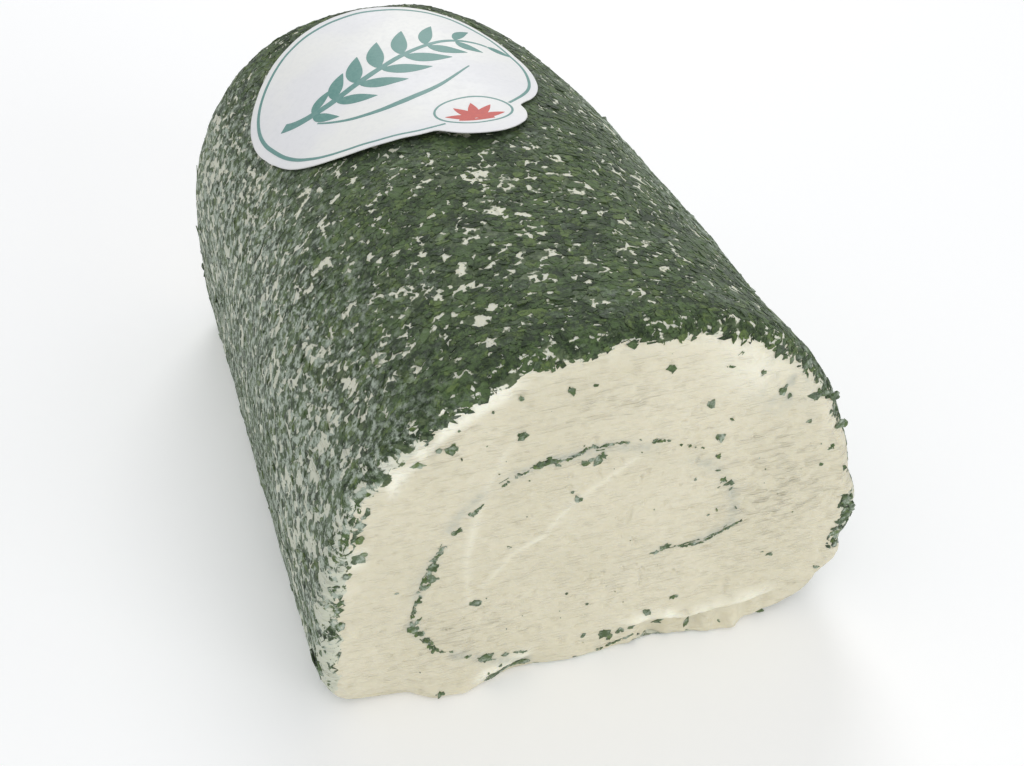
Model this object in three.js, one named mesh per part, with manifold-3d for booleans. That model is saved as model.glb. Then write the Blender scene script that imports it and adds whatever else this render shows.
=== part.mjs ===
// Herb coated roll of soft cheese, cut across at the front.
// Millimetres, +Z up, the roll lies along Y and the cut face looks along -Y.
import * as THREE from 'three';
import { mergeVertices } from 'three/addons/utils/BufferGeometryUtils.js';
import Module from 'manifold-3d';

// ---- driving dimensions ----
const LENGTH = 136.3;            // cut face to heel
// Section at the cut face and at the heel. Each is four quarter superellipses
// about the widest points: half widths, height, height of the widest point,
// exponents of the crown and of the foot, and where the crown peaks.
const FRONT = { left: 58.2, right: 45.0, height: 76.6, wideL: 13.8, wideR: 19.5, crownL: 2.57, crownR: 2.06, footL: 4.83, footR: 3.11, peak: 6.6 };
const HEEL = { left: 52.95, right: 63.3, height: 80.1, wideL: 16.5, wideR: 15.1, crownL: 2.61, crownR: 1.59, footL: 5.33, footR: 3.33, peak: -3.65 };
const SETTLE = 1.03;             // how far the foot is pressed flat on what it lies on
const CROWN_STEPS = 17;          // facets from the widest point to the crown
const FOOT_STEPS = 9;            // facets from the widest point to the base
// Rounded edges: distance from the end face, and how far the section draws in there.
const FRONT_EDGE = [[0, 2.3], [0.5, 1.2], [1.4, 0.4], [3.2, 0]];
const HEEL_EDGE = [[0, 6.6], [0.7, 4.2], [2.3, 2.1], [5.2, 0.6], [9.0, 0]];
const BODY_STATIONS = 13;        // sections between the two edges
const FACE_RINGS = [0.86, 0.62, 0.34];
// Soft places of the form.
const DENT = 0.7;                // slow unevenness of the flanks
const LIP = { x: -27, wide: 6.5, out: 1.9, drop: 5 };      // smeared foot of the cut face
const FLAP = { z: 26.5, tall: 4.6, deep: 5.0, out: 2.0 };  // ear of coat at the right of the cut face
const BULGE = { z: 43.6, tall: 13, y: 126, deep: 15, out: 1.2 };   // fuller left flank near the heel
// The rolled-in layer of herbs: thickness, clearance, and the stations of its middle line (x, z).
const LAYER = 1.0;
const CLEAR = 0.3;
const SWIRL = [[-12.4, 3.9], [-22, 8], [-31, 13.5], [-35.2, 21], [-34, 29], [-30.5, 38], [-25.5, 46.8], [-17.5, 52], [-7, 53.7],
  [4, 52.8], [13.5, 48.9], [20.3, 43], [23.6, 36.5], [24.4, 31.4], [21.3, 28.3], [15, 27], [9.3, 26.4]];
const SWIRL_STEPS = 72;
// The paper label on top: a wide oval with a small oval tongue at its front.
const OVAL = { x: -13.9, y: 97.8, a: 30.3, b: 29.3, power: 2.06 };
const TONGUE = { x: -3.0, y: 73.9, a: 10.2, b: 10.6, turn: -0.12 };
const CORNER = { angle: 3.42, wide: 0.32, draw: 0.07 };            // the oval is drawn in low at the left
const PAPER = 0.5;
const LABEL_LIFT = 1.8;          // how far the front edge has come away
const LABEL_STEPS = 72;
const LABEL_RINGS = [0.22, 0.44, 0.64, 0.8, 0.91, 1];

// ---- the form ----
const mix = (a, b, t) => a + (b - a) * t;
const bell = (d, w) => Math.exp(-(d * d) / (2 * w * w));

function sectionSizes(y) {
  const t = Math.min(1, Math.max(0, y / LENGTH));
  const s = {};
  for (const k in FRONT) s[k] = mix(FRONT[k], HEEL[k], t);
  return s;
}

// One closed outline, anticlockwise seen from the front, from the middle of the base.
function outline(y) {
  const s = sectionSizes(y);
  const quarter = (half, wide, crown, foot, side) => {
    const down = [];
    const up = [];
    for (let i = 0; i <= FOOT_STEPS; i++) {
      const t = (Math.PI / 2) * (1 - i / FOOT_STEPS);
      const z = wide - SETTLE * wide * Math.sin(t) ** (2 / foot);
      down.push([s.peak + side * half * Math.cos(t) ** (2 / foot), Math.max(0, z)]);
    }
    for (let i = 1; i <= CROWN_STEPS; i++) {
      const t = (Math.PI / 2) * (i / CROWN_STEPS);
      up.push([s.peak + side * half * Math.cos(t) ** (2 / crown), wide + (s.height - wide) * Math.sin(t) ** (2 / crown)]);
    }
    return down.concat(up);
  };
  const right = quarter(s.right, s.wideR, s.crownR, s.footR, 1);
  const left = quarter(s.left, s.wideL, s.crownL, s.footL, -1);
  return right.concat(left.slice(1, -1).reverse());
}

// Slow unevenness, none at the base and little under the label.
function unevenness(x, y, z) {
  const rise = Math.min(1, z / 25);
  return DENT * rise * (0.6 * Math.sin(y / 17 + x / 23 + 1.1) + 0.4 * Math.sin(y / 9.5 - z / 14 + 0.4));
}

// The outline at y, drawn in by inset, with the flap, the bulge and the unevenness.
function ring(y, inset) {
  const s = sectionSizes(y);
  const midX = s.peak + (s.right - s.left) / 2;
  const midZ = s.height * 0.42;
  const halfX = (s.left + s.right) / 2;
  return outline(y).map(([x, z]) => {
    let dx = x - midX;
    let dz = z - midZ;
    const r = Math.hypot(dx, dz);
    const local = x > midX
      ? FLAP.out * bell(z - FLAP.z, FLAP.tall) * bell(y, FLAP.deep)
      : BULGE.out * bell(z - BULGE.z, BULGE.tall) * bell(y - BULGE.y, BULGE.deep);
    const swell = unevenness(x, y, z) + local;
    dx *= 1 - inset / halfX + swell / r;
    dz *= 1 - (inset * (z < midZ ? 0.35 : 1)) / (z < midZ ? midZ : s.height - midZ) + (z < 1 ? 0 : swell / r);
    return [midX + dx, Math.max(0, midZ + dz)];
  });
}

// How far the smeared foot stands out of the cut face.
function lip(x, z) {
  return LIP.out * bell(x - LIP.x, LIP.wide) * Math.exp(-z / LIP.drop);
}

function rollGeometry() {
  const rings = [];
  const push = (y, inset) => rings.push(ring(y, inset).map(([x, z]) => [x, y, z]));
  FRONT_EDGE.forEach(([d, inset]) => push(d, inset));
  const from = FRONT_EDGE.at(-1)[0];
  const to = LENGTH - HEEL_EDGE.at(-1)[0];
  for (let i = 1; i <= BODY_STATIONS; i++) push(mix(from, to, i / (BODY_STATIONS + 1)), 0);
  [...HEEL_EDGE].reverse().forEach(([d, inset]) => push(LENGTH - d, inset));
  // the cut face and the heel close in rings towards their middles
  const close = (rim) => {
    const cx = rim.reduce((a, p) => a + p[0], 0) / rim.length;
    const cz = rim.reduce((a, p) => a + p[2], 0) / rim.length;
    return { rows: FACE_RINGS.map((k) => rim.map((p) => [mix(cx, p[0], k), p[1], mix(cz, p[2], k)])), mid: [cx, rim[0][1], cz] };
  };
  const frontCap = close(rings[0]);
  const heelCap = close(rings.at(-1));
  const rows = [...frontCap.rows].reverse().concat(rings, heelCap.rows);
  const n = rings[0].length;
  const frontRows = FACE_RINGS.length + 2;
  const pos = [];
  rows.forEach((row, r) => row.forEach(([x, y, z]) => pos.push(x, r < frontRows ? y - lip(x, z) : y, z)));
  pos.push(...frontCap.mid, ...heelCap.mid);
  const index = [];
  for (let r = 0; r < rows.length - 1; r++) {
    for (let i = 0; i < n; i++) {
      const a = r * n + i;
      const b = r * n + ((i + 1) % n);
      index.push(a, b + n, b, a, a + n, b + n);
    }
  }
  const last = (rows.length - 1) * n;
  const midFront = rows.length * n;
  for (let i = 0; i < n; i++) {
    const j = (i + 1) % n;
    index.push(midFront, i, j);
    index.push(midFront + 1, last + j, last + i);
  }
  return indexed(pos, index);
}

function indexed(pos, index) {
  const g = new THREE.BufferGeometry();
  g.setAttribute('position', new THREE.Float32BufferAttribute(pos, 3));
  g.setIndex(index);
  return g;
}

// The rolled-in layer, or the slot for it when grown: a strip about the middle line, extruded along the roll.
function layerGeometry(grow, over) {
  const curve = new THREE.CatmullRomCurve3(SWIRL.map(([x, z]) => new THREE.Vector3(x, z, 0)), false, 'centripetal');
  const half = LAYER / 2 + grow;
  const near = [];
  const far = [];
  for (let i = 0; i <= SWIRL_STEPS; i++) {
    const p = curve.getPointAt(i / SWIRL_STEPS);
    const t = curve.getTangentAt(i / SWIRL_STEPS);
    const ahead = i === 0 ? -grow : i === SWIRL_STEPS ? grow : 0;
    near.push(new THREE.Vector2(p.x + t.x * ahead - t.y * half, p.y + t.y * ahead + t.x * half));
    far.push(new THREE.Vector2(p.x + t.x * ahead + t.y * half, p.y + t.y * ahead - t.x * half));
  }
  const shape = new THREE.Shape(near.concat(far.reverse()));
  const g = new THREE.ExtrudeGeometry(shape, { depth: LENGTH + 2 * over, steps: 1, bevelEnabled: false });
  g.rotateX(Math.PI / 2);
  g.translate(0, LENGTH + over, 0);
  return g;
}

// Height of the coat at a place seen from above.
function coatHeight(x, y) {
  const d = LENGTH - y;
  let inset = 0;
  for (let i = 0; i < HEEL_EDGE.length - 1; i++) {
    const [d0, i0] = HEEL_EDGE[i];
    const [d1, i1] = HEEL_EDGE[i + 1];
    if (d >= d0 && d < d1) inset = mix(i0, i1, (d - d0) / (d1 - d0));
  }
  const upper = ring(y, inset).filter(([, z]) => z > 30).sort((p, q) => p[0] - q[0]);
  for (let i = 0; i < upper.length - 1; i++) {
    const [x0, z0] = upper[i];
    const [x1, z1] = upper[i + 1];
    if (x >= x0 && x <= x1) return mix(z0, z1, (x - x0) / (x1 - x0));
  }
  return 0;
}

// Distance from the middle of the oval to the label's edge in one direction.
function labelReach(angle) {
  const cx = Math.cos(angle);
  const cy = Math.sin(angle);
  let reach = 1 / (Math.abs(cx / OVAL.a) ** OVAL.power + Math.abs(cy / OVAL.b) ** OVAL.power) ** (1 / OVAL.power);
  reach *= 1 - CORNER.draw * bell(angle - CORNER.angle, CORNER.wide);
  // far side of the tongue along the same ray
  const c = Math.cos(TONGUE.turn);
  const s = Math.sin(TONGUE.turn);
  const turn = (x, y) => [(x * c + y * s) / TONGUE.a, (-x * s + y * c) / TONGUE.b];
  const [ox, oy] = turn(OVAL.x - TONGUE.x, OVAL.y - TONGUE.y);
  const [dx, dy] = turn(cx, cy);
  const A = dx * dx + dy * dy;
  const B = ox * dx + oy * dy;
  const D = B * B - A * (ox * ox + oy * oy - 1);
  if (D > 0) reach = Math.max(reach, (-B + Math.sqrt(D)) / A);
  return reach;
}

function labelGeometry() {
  const under = [];
  const over = [];
  const place = (x, y) => {
    const e = 1.5;
    const n = new THREE.Vector3(coatHeight(x - e, y) - coatHeight(x + e, y), coatHeight(x, y - e) - coatHeight(x, y + e), 2 * e).normalize();
    const p = new THREE.Vector3(x, y, coatHeight(x, y));
    // the front edge of the paper has come away a little
    const free = Math.max(0, (OVAL.y - 14 - y) / 20);
    const lift = CLEAR + 0.15 + LABEL_LIFT * free * free * bell(x + 12, 19);
    under.push(p.clone().addScaledVector(n, lift));
    over.push(p.clone().addScaledVector(n, lift + PAPER));
  };
  place(OVAL.x, OVAL.y);
  for (const k of LABEL_RINGS) {
    for (let i = 0; i < LABEL_STEPS; i++) {
      const a = (i / LABEL_STEPS) * 2 * Math.PI;
      const r = labelReach(a) * k;
      place(OVAL.x + r * Math.cos(a), OVAL.y + r * Math.sin(a));
    }
  }
  const pos = [];
  under.concat(over).forEach((p) => pos.push(p.x, p.y, p.z));
  const m = under.length;
  const at = (r, i) => (r < 0 ? 0 : 1 + r * LABEL_STEPS + (i % LABEL_STEPS));
  const index = [];
  const tri = (a, b, c) => {
    index.push(m + a, m + b, m + c);       // upper side
    index.push(a, c, b);                   // lower side
  };
  for (let i = 0; i < LABEL_STEPS; i++) tri(0, at(0, i), at(0, i + 1));
  for (let r = 0; r < LABEL_RINGS.length - 1; r++) {
    for (let i = 0; i < LABEL_STEPS; i++) {
      tri(at(r, i), at(r + 1, i), at(r + 1, i + 1));
      tri(at(r, i), at(r + 1, i + 1), at(r, i + 1));
    }
  }
  const e = LABEL_RINGS.length - 1;
  for (let i = 0; i < LABEL_STEPS; i++) {
    const a = at(e, i);
    const b = at(e, i + 1);
    index.push(a, b, m + b, a, m + b, m + a);
  }
  return indexed(pos, index);
}

// ---- cutting the slot ----
const wasm = await Module();
wasm.setup();

function toSolid(geometry) {
  const g = geometry.clone();
  g.deleteAttribute('normal');
  g.deleteAttribute('uv');
  const m = mergeVertices(g, 1e-4);
  return new wasm.Manifold(new wasm.Mesh({
    numProp: 3,
    vertProperties: new Float32Array(m.attributes.position.array),
    triVerts: new Uint32Array(m.index.array),
  }));
}

function fromSolid(solid) {
  const mesh = solid.getMesh();
  return indexed(Array.from(mesh.vertProperties), Array.from(mesh.triVerts));
}

const slot = toSolid(layerGeometry(CLEAR, 6));
const roll = fromSolid(toSolid(rollGeometry()).subtract(slot));
const swirl = fromSolid(toSolid(layerGeometry(0, 0)));
const label = fromSolid(toSolid(labelGeometry()));

// ---- scene graph, with the origin under the middle of the whole ----
const group = new THREE.Group();
const add = (name, geometry, colour, roughness) => {
  geometry.computeVertexNormals();
  const mesh = new THREE.Mesh(geometry, new THREE.MeshStandardMaterial({ color: colour, roughness, metalness: 0 }));
  mesh.name = name;
  group.add(mesh);
};
add('cheese_roll', roll, 0xe4dfc6, 0.6);
add('herb_swirl', swirl, 0x4e5e40, 0.8);
add('label', label, 0xe9e9ec, 0.5);

const box = new THREE.Box3().setFromObject(group);
const middle = box.getCenter(new THREE.Vector3());
for (const mesh of group.children) mesh.position.set(-middle.x, -middle.y, -box.min.z);

export default group;
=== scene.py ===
import math
import bpy
import numpy as np
from mathutils import Matrix, Vector


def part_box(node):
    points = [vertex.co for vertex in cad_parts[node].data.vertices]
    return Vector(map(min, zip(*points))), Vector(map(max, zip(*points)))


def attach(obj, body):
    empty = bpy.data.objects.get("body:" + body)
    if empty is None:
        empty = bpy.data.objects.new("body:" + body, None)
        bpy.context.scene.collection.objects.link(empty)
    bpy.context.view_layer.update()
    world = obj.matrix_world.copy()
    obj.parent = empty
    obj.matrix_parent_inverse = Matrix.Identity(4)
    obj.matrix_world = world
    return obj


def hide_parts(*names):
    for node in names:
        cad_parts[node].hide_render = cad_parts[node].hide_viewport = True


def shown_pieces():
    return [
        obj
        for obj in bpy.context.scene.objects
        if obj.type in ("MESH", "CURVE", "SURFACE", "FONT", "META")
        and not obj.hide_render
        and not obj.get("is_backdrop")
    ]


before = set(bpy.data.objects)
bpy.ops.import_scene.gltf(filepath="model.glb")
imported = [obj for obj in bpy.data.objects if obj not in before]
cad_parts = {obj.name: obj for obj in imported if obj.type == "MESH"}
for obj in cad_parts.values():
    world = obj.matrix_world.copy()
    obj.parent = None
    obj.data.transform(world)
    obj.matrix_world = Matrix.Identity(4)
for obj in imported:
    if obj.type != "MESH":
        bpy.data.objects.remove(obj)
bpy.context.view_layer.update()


MM = 0.001
rng = np.random.default_rng(20261)

# ---------------------------------------------------------------- form of the roll, as in the CAD, millimetres
LENGTH = 136.3
KEYS = ("left", "right", "height", "wideL", "wideR", "crownL", "crownR", "footL", "footR", "peak")
FRONT = np.array([58.2, 45.0, 76.6, 13.8, 19.5, 2.57, 2.06, 4.83, 3.11, 6.6])
HEEL = np.array([52.95, 63.3, 80.1, 16.5, 15.1, 2.61, 1.59, 5.33, 3.33, -3.65])
SETTLE = 1.03
FRONT_EDGE = [(0.0, 2.3), (0.5, 1.2), (1.4, 0.4), (3.2, 0.0)]
HEEL_EDGE = [(9.0, 0.0), (5.2, 0.6), (2.3, 2.1), (0.7, 4.2), (0.0, 6.6)]
SWIRL = [(-12.4, 3.9), (-22, 8), (-31, 13.5), (-35.2, 21), (-34, 29), (-30.5, 38), (-25.5, 46.8), (-17.5, 52), (-7, 53.7),
         (4, 52.8), (13.5, 48.9), (20.3, 43), (23.6, 36.5), (24.4, 31.4), (21.3, 28.3), (15, 27), (9.3, 26.4)]


def bell(d, w):
    return np.exp(-(d * d) / (2 * w * w))


def smooth(a, b, x):
    t = np.clip((x - a) / (b - a), 0, 1)
    return t * t * (3 - 2 * t)


def hash01(ix, iy, iz, seed):
    n = (ix.astype(np.int64) * 73856093) ^ (iy.astype(np.int64) * 19349663) ^ (iz.astype(np.int64) * 83492791) ^ (seed * 2654435761)
    n = n & 0xFFFFFFFF
    n = ((n ^ (n >> 15)) * 2246822519) & 0xFFFFFFFF
    n = ((n ^ (n >> 13)) * 3266489917) & 0xFFFFFFFF
    return (n ^ (n >> 16)) / 4294967295.0


def noise(x, y, z=0.0, seed=1):
    """Smooth value noise from -1 to 1."""
    x, y, z = np.broadcast_arrays(np.asarray(x, float), np.asarray(y, float), np.asarray(z, float))
    ix, iy, iz = np.floor(x).astype(int), np.floor(y).astype(int), np.floor(z).astype(int)
    fx, fy, fz = x - ix, y - iy, z - iz
    ux, uy, uz = (f * f * f * (f * (f * 6 - 15) + 10) for f in (fx, fy, fz))
    out = 0
    for a in (0, 1):
        for b in (0, 1):
            for c in (0, 1):
                w = (ux if a else 1 - ux) * (uy if b else 1 - uy) * (uz if c else 1 - uz)
                out = out + w * hash01(ix + a, iy + b, iz + c, seed)
    return out * 2 - 1


def fbm(x, y, z=0.0, seed=1, octaves=3, gain=0.5):
    total, amp, norm = 0, 1.0, 0.0
    for o in range(octaves):
        k = 2.03 ** o
        total = total + amp * noise(np.asarray(x) * k + 17.3 * o, np.asarray(y) * k - 9.1 * o, np.asarray(z) * k + 4.7 * o, seed + o)
        norm += amp
        amp *= gain
    return total / norm


def sizes(y):
    t = min(1.0, max(0.0, y / LENGTH))
    return dict(zip(KEYS, FRONT + (HEEL - FRONT) * t))


def outline(y, q=220):
    """Dense half outlines (right, left), each from the middle of the base to the crown."""
    s = sizes(y)
    t = np.linspace(math.pi / 2, 0, q)
    u = np.linspace(0, math.pi / 2, q)[1:]

    def quarter(half, wide, crown, foot, side):
        cx = s["peak"] + side * half * np.concatenate([np.cos(t) ** (2 / foot), np.maximum(np.cos(u), 0) ** (2 / crown)])
        cz = np.concatenate([np.maximum(0, wide - SETTLE * wide * np.sin(t) ** (2 / foot)), wide + (s["height"] - wide) * np.sin(u) ** (2 / crown)])
        return np.stack([cx, cz], 1)
    return quarter(s["right"], s["wideR"], s["crownR"], s["footR"], 1), quarter(s["left"], s["wideL"], s["crownL"], s["footL"], -1), s


def shaped(pts, s, y, inset):
    x, z = pts[:, 0], pts[:, 1]
    mid_x = s["peak"] + (s["right"] - s["left"]) / 2
    mid_z = s["height"] * 0.42
    half_x = (s["left"] + s["right"]) / 2
    dx, dz = x - mid_x, z - mid_z
    r = np.hypot(dx, dz)
    rise = np.minimum(1, z / 25)
    swell = 0.7 * rise * (0.6 * np.sin(y / 17 + x / 23 + 1.1) + 0.4 * np.sin(y / 9.5 - z / 14 + 0.4))
    swell = swell + np.where(x > mid_x, 2.0 * bell(z - 26.5, 4.6) * bell(y, 5.0) - 0.7 * bell(z - 50, 10) * bell(y, 14), 1.2 * bell(z - 43.6, 13.0) * bell(y - 126.0, 15.0))
    below = z < mid_z
    dx = dx * (1 - inset / half_x + swell / r)
    dz = dz * (1 - np.where(below, inset * 0.35 / mid_z, inset / (s["height"] - mid_z)) + np.where(z < 1, 0, swell / r))
    return np.stack([mid_x + dx, np.maximum(0, mid_z + dz)], 1)


N = 480                     # places round the section


def resample(p, n):
    d = np.concatenate([[0], np.cumsum(np.hypot(*np.diff(p, axis=0).T))])
    t = np.linspace(0, d[-1], n)
    return np.stack([np.interp(t, d, p[:, 0]), np.interp(t, d, p[:, 1])], 1)


def ring(y, inset):
    right, left, s = outline(y)
    right, left = shaped(right, s, y, inset), shaped(left, s, y, inset)
    a = resample(right, N // 2 + 1)
    b = resample(left, N // 2 + 1)
    return np.concatenate([a[:-1], b[::-1][:-1]])          # base middle, right flank, crown, left flank


# place of the part in the frame
wide = [ring(y, 0)[:, 0] for y in (3.2, 60.0, 120.0, 127.3)]
probe = np.concatenate([ring(y, 0)[:, 0] for y in np.linspace(3.2, 127.3, 30)])
SX = -(probe.min() + probe.max()) / 2
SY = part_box("herb_swirl")[0].y / MM
LIFT_BASE = 0.25            # the cheese stands on the herbs under it


def to_frame(p):
    p = np.asarray(p, float)
    return (p + np.array([SX, SY, 0.0])) * MM


# ---------------------------------------------------------------- the cut face
def swirl_line(n=600):
    pts = np.array(SWIRL, float)
    pts = np.vstack([2 * pts[0] - pts[1], pts, 2 * pts[-1] - pts[-2]])
    out = []
    for i in range(1, len(pts) - 2):
        p0, p1, p2, p3 = pts[i - 1:i + 3]
        t0 = 0.0
        t1 = t0 + np.linalg.norm(p1 - p0) ** 0.5
        t2 = t1 + np.linalg.norm(p2 - p1) ** 0.5
        t3 = t2 + np.linalg.norm(p3 - p2) ** 0.5
        t = np.linspace(t1, t2, 60, endpoint=False)[:, None]
        a1 = (t1 - t) / (t1 - t0) * p0 + (t - t0) / (t1 - t0) * p1
        a2 = (t2 - t) / (t2 - t1) * p1 + (t - t1) / (t2 - t1) * p2
        a3 = (t3 - t) / (t3 - t2) * p2 + (t - t2) / (t3 - t2) * p3
        b1 = (t2 - t) / (t2 - t0) * a1 + (t - t0) / (t2 - t0) * a2
        b2 = (t3 - t) / (t3 - t1) * a2 + (t - t1) / (t3 - t1) * a3
        out.append((t2 - t) / (t2 - t1) * b1 + (t - t1) / (t2 - t1) * b2)
    out.append(pts[-2][None])
    return resample(np.vstack(out), n)


LINE = swirl_line()


def face_relief(x, z, seed=11):
    """How far the cut stands out, millimetres. Knife marks run across, with small tears and pits."""
    tilt = z + 0.02 * x + 0.35 * noise(x / 16, z / 9, 0, seed + 30)
    wave = tilt + 0.5 * noise(x / 5.0, z / 6.0, 0, seed + 33)
    knife = 0.10 * fbm(x / 9, wave / 1.5, 0, seed, 3) + 0.05 * fbm(x / 4.5, wave / 0.9, 0, seed + 5, 2)
    band = smooth(-0.1, 0.7, noise(x / 19, z / 8, 3.3, seed + 9))
    tears = -0.22 * band * smooth(0.45, 0.8, fbm(x / 3.4, tilt / 0.95, 0, seed + 14, 2))
    curls = 0.18 * band * smooth(0.45, 0.8, fbm(x / 3.1 + 4, (tilt + 0.5) / 0.9, 0, seed + 17, 2))
    slow = 0.30 * noise(x / 26, z / 17, 0, seed + 21) + 0.12 * noise(x / 9, z / 6, 0, seed + 22)
    pits = -0.3 * smooth(0.66, 0.86, noise(x / 1.3, z / 1.2, 0, seed + 25))
    return knife + tears + curls + slow + pits


FOOT_X = [-52, -46, -41, -36, -31, -26, -21, -15.5, -10, -5, 0, 6, 12, 18, 24, 30, 36, 42, 48]
FOOT_OUT = [-2.4, -3.2, -3.4, -2.2, 1.2, 1.8, -0.4, -2.6, -1.4, -0.2, -0.8, -1.3, -1.2, 0.2, 1.8, 2.6, -0.6, -1.2, -0.8]
# long low ridges where the knife dragged the cheese, down across the cut
RIDGES = [([(-18.0, 58.8), (-19.3, 57.4), (-20.2, 54.7), (-22.3, 50.4), (-23.4, 46.7), (-24.5, 41.3), (-25.6, 34.0), (-25.0, 24.0)], 0.75),
          ([(4.0, 50.5), (-0.5, 47.2), (-3.9, 45.0), (-7.3, 42.5), (-10.3, 39.0), (-11.8, 36.6), (-14.6, 35.2), (-17.3, 33.8), (-19.3, 30.9), (-22.5, 27.5)], 0.6)]


def beads(x, z):
    """Rolled beads of cheese that the knife left: one low at the left, a longer one at the right."""
    low = bell(z - (4.7 + 0.27 * (x + 19)), 1.1) * smooth(-25.5, -22, x) * (1 - smooth(-15, -11.5, x))
    long = bell(z - (8.4 + 0.5 * np.sin(x / 4.0) + 0.25 * np.sin(x / 1.7)), 1.0) * smooth(3, 8, x) * (1 - smooth(34, 39, x))
    return low, long


def near_path(x, z, path):
    """Distance of each place from a course."""
    near = np.full(np.shape(x), 1e3)
    for p, q in zip(path[:-1], path[1:]):
        px, pz, dx, dz = p[0], p[1], q[0] - p[0], q[1] - p[1]
        k = np.clip(((x - px) * dx + (z - pz) * dz) / (dx * dx + dz * dz), 0, 1)
        near = np.minimum(near, np.hypot(x - px - k * dx, z - pz - k * dz))
    return near


def ridges(x, z):
    x, z = np.asarray(x, float), np.asarray(z, float)
    out = 0
    for path, wide in RIDGES:
        out = out + np.exp(-(near_path(x, z, path) / wide) ** 2) * (0.9 + 0.4 * noise(x / 4.5, z / 4.5, 0, 65))
    return out


def front_extra(x, z):
    """How the foot of the cut is smeared out or drawn in, the rolled beads, and the step under the long one."""
    out = np.interp(x, FOOT_X, FOOT_OUT) * np.exp(-np.maximum(z, 0) / 4.5)
    low, long = beads(x, z)
    out = out + 0.7 * low + 0.9 * long * (1 + 0.5 * noise(x / 3.5, z / 2.5, 0, 61)) + 0.16 * ridges(x, z)
    # the thick smear under the crown at the right
    out = out + 0.7 * bell(x - 22.0 + 0.5 * (z - 66.0), 3.2) * bell(z - 65.5, 4.5)
    step = smooth(7.8, 6.2, z) * smooth(7, 12, x) * (1 - smooth(33, 39, x))
    return out - step * (1.3 + 0.8 * noise(x / 2.6, z / 3.0, 0, 63))


# rows from the middle of the cut face, over the edge, along the side, over the heel edge, to its middle
rows = []                                                   # (kind, y, inset, k)
for k in np.concatenate([np.linspace(0.03, 0.90, 74, endpoint=False), np.linspace(0.90, 1.0, 14, endpoint=False)]):
    rows.append(("front", 0.0, 2.3, float(k)))
F0 = len(rows)                                              # the first row of the side, at the cut
for y in (0.0, 0.22, 0.5, 0.9, 1.4, 2.2, 3.2):
    rows.append(("side", y, float(np.interp(y, [e[0] for e in FRONT_EDGE], [e[1] for e in FRONT_EDGE])), 1.0))
for y in np.linspace(3.2, LENGTH - 9.0, 56)[1:-1]:
    rows.append(("side", float(y), 0.0, 1.0))
HD = [e[0] for e in HEEL_EDGE][::-1]
HI = [e[1] for e in HEEL_EDGE][::-1]
for d in (9.0, 7.0, 5.2, 3.6, 2.3, 1.4, 0.7, 0.3, 0.0):
    rows.append(("side", LENGTH - d, float(np.interp(d, HD, HI)), 1.0))
for k in np.linspace(1.0, 0.04, 30)[1:]:
    rows.append(("heel", LENGTH, 6.6, float(k)))

P = np.zeros((len(rows), N, 3))
cache = {}
for r, (kind, y, inset, k) in enumerate(rows):
    if kind == "side":
        # the torn edge of the cut: the rim wanders a little
        base = ring(y, inset)
        P[r, :, 0], P[r, :, 1], P[r, :, 2] = base[:, 0], y, base[:, 1]
    else:
        if kind not in cache:
            rim = ring(y, inset)
            cache[kind] = (rim, np.array([rim[:, 0].mean(), rim[:, 1].mean()]))
        rim, mid = cache[kind]
        q = mid + (rim - mid) * k
        P[r, :, 0], P[r, :, 1], P[r, :, 2] = q[:, 0], y, q[:, 1]

# wander of the rim, within a few millimetres of each cut
gap = np.hypot(*(np.roll(P[F0 + 3, :, [0, 2]], -1, axis=1) - P[F0 + 3, :, [0, 2]]))
ARC = np.concatenate([[0], np.cumsum(gap)])[:-1]            # millimetres round the section, at the front rim
PERIM = float(gap.sum())
wander = 0.55 * fbm(ARC / 5.2, 0 * ARC, 0, 71, 3) + 0.35 * fbm(ARC / 1.7, 0 * ARC, 0, 75, 2)
rim_x, rim_z = P[F0 + 3, :, 0], P[F0 + 3, :, 2]
# notches beside the ear of coat at the right, and the corner drawn in low at the left
wander = wander - smooth(20, 32, rim_x) * (1.2 * bell(rim_z - 34.0, 1.6) + 0.9 * smooth(33, 36, rim_z) * smooth(70, 62, rim_z) + 1.3 * bell(rim_z - 27.5, 4) + 1.7 * bell(rim_z - 18.5, 2.2) + 1.9 * bell(rim_z - 9.0, 2.0))
wander = wander - 1.3 * smooth(-40, -46, rim_x) * smooth(15, 6, rim_z)
heel_wander = 0.6 * fbm(ARC / 6.0, 0 * ARC, 0, 81, 3)
lower = smooth(2.0, 8.0, P[F0 + 3, :, 2])
for r, (kind, y, inset, k) in enumerate(rows):
    reach_f = bell(y, 2.6) * (k ** 8 if kind == "front" else 1.0) if kind != "heel" else 0
    reach_h = bell(LENGTH - y, 2.6) * (k ** 8 if kind == "heel" else 1.0) if kind != "front" else 0
    push = (wander * reach_f + heel_wander * reach_h) * lower
    c = P[r].mean(0)
    d = P[r] - c
    length = np.maximum(np.hypot(d[:, 0], d[:, 2]), 1e-6)
    P[r, :, 0] += d[:, 0] / length * push
    P[r, :, 2] += d[:, 2] / length * push
# the cut surfaces
for r, (kind, y, inset, k) in enumerate(rows):
    x, z = P[r, :, 0], P[r, :, 2]
    if y < 1.6:
        w = 1.0 if kind == "front" else float(bell(y, 0.9))
        edge = smooth(0.80, 0.99, k) if kind == "front" else 1.0
        lump = 0.45 * fbm(x / 4.2, z / 3.2, 0, 91, 2) * edge
        P[r, :, 1] -= w * (face_relief(x, z) + front_extra(x, z) + lump)
    if y > LENGTH - 1.6:
        w = 1.0 if kind == "heel" else float(bell(LENGTH - y, 0.9))
        P[r, :, 1] += w * (face_relief(x, z, 211) * 0.9)


def grid_normals(g):
    du = np.roll(g, -1, axis=1) - np.roll(g, 1, axis=1)
    dv = np.gradient(g, axis=0)
    n = np.cross(du, dv)
    return n / np.maximum(np.linalg.norm(n, axis=2, keepdims=True), 1e-9)


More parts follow.
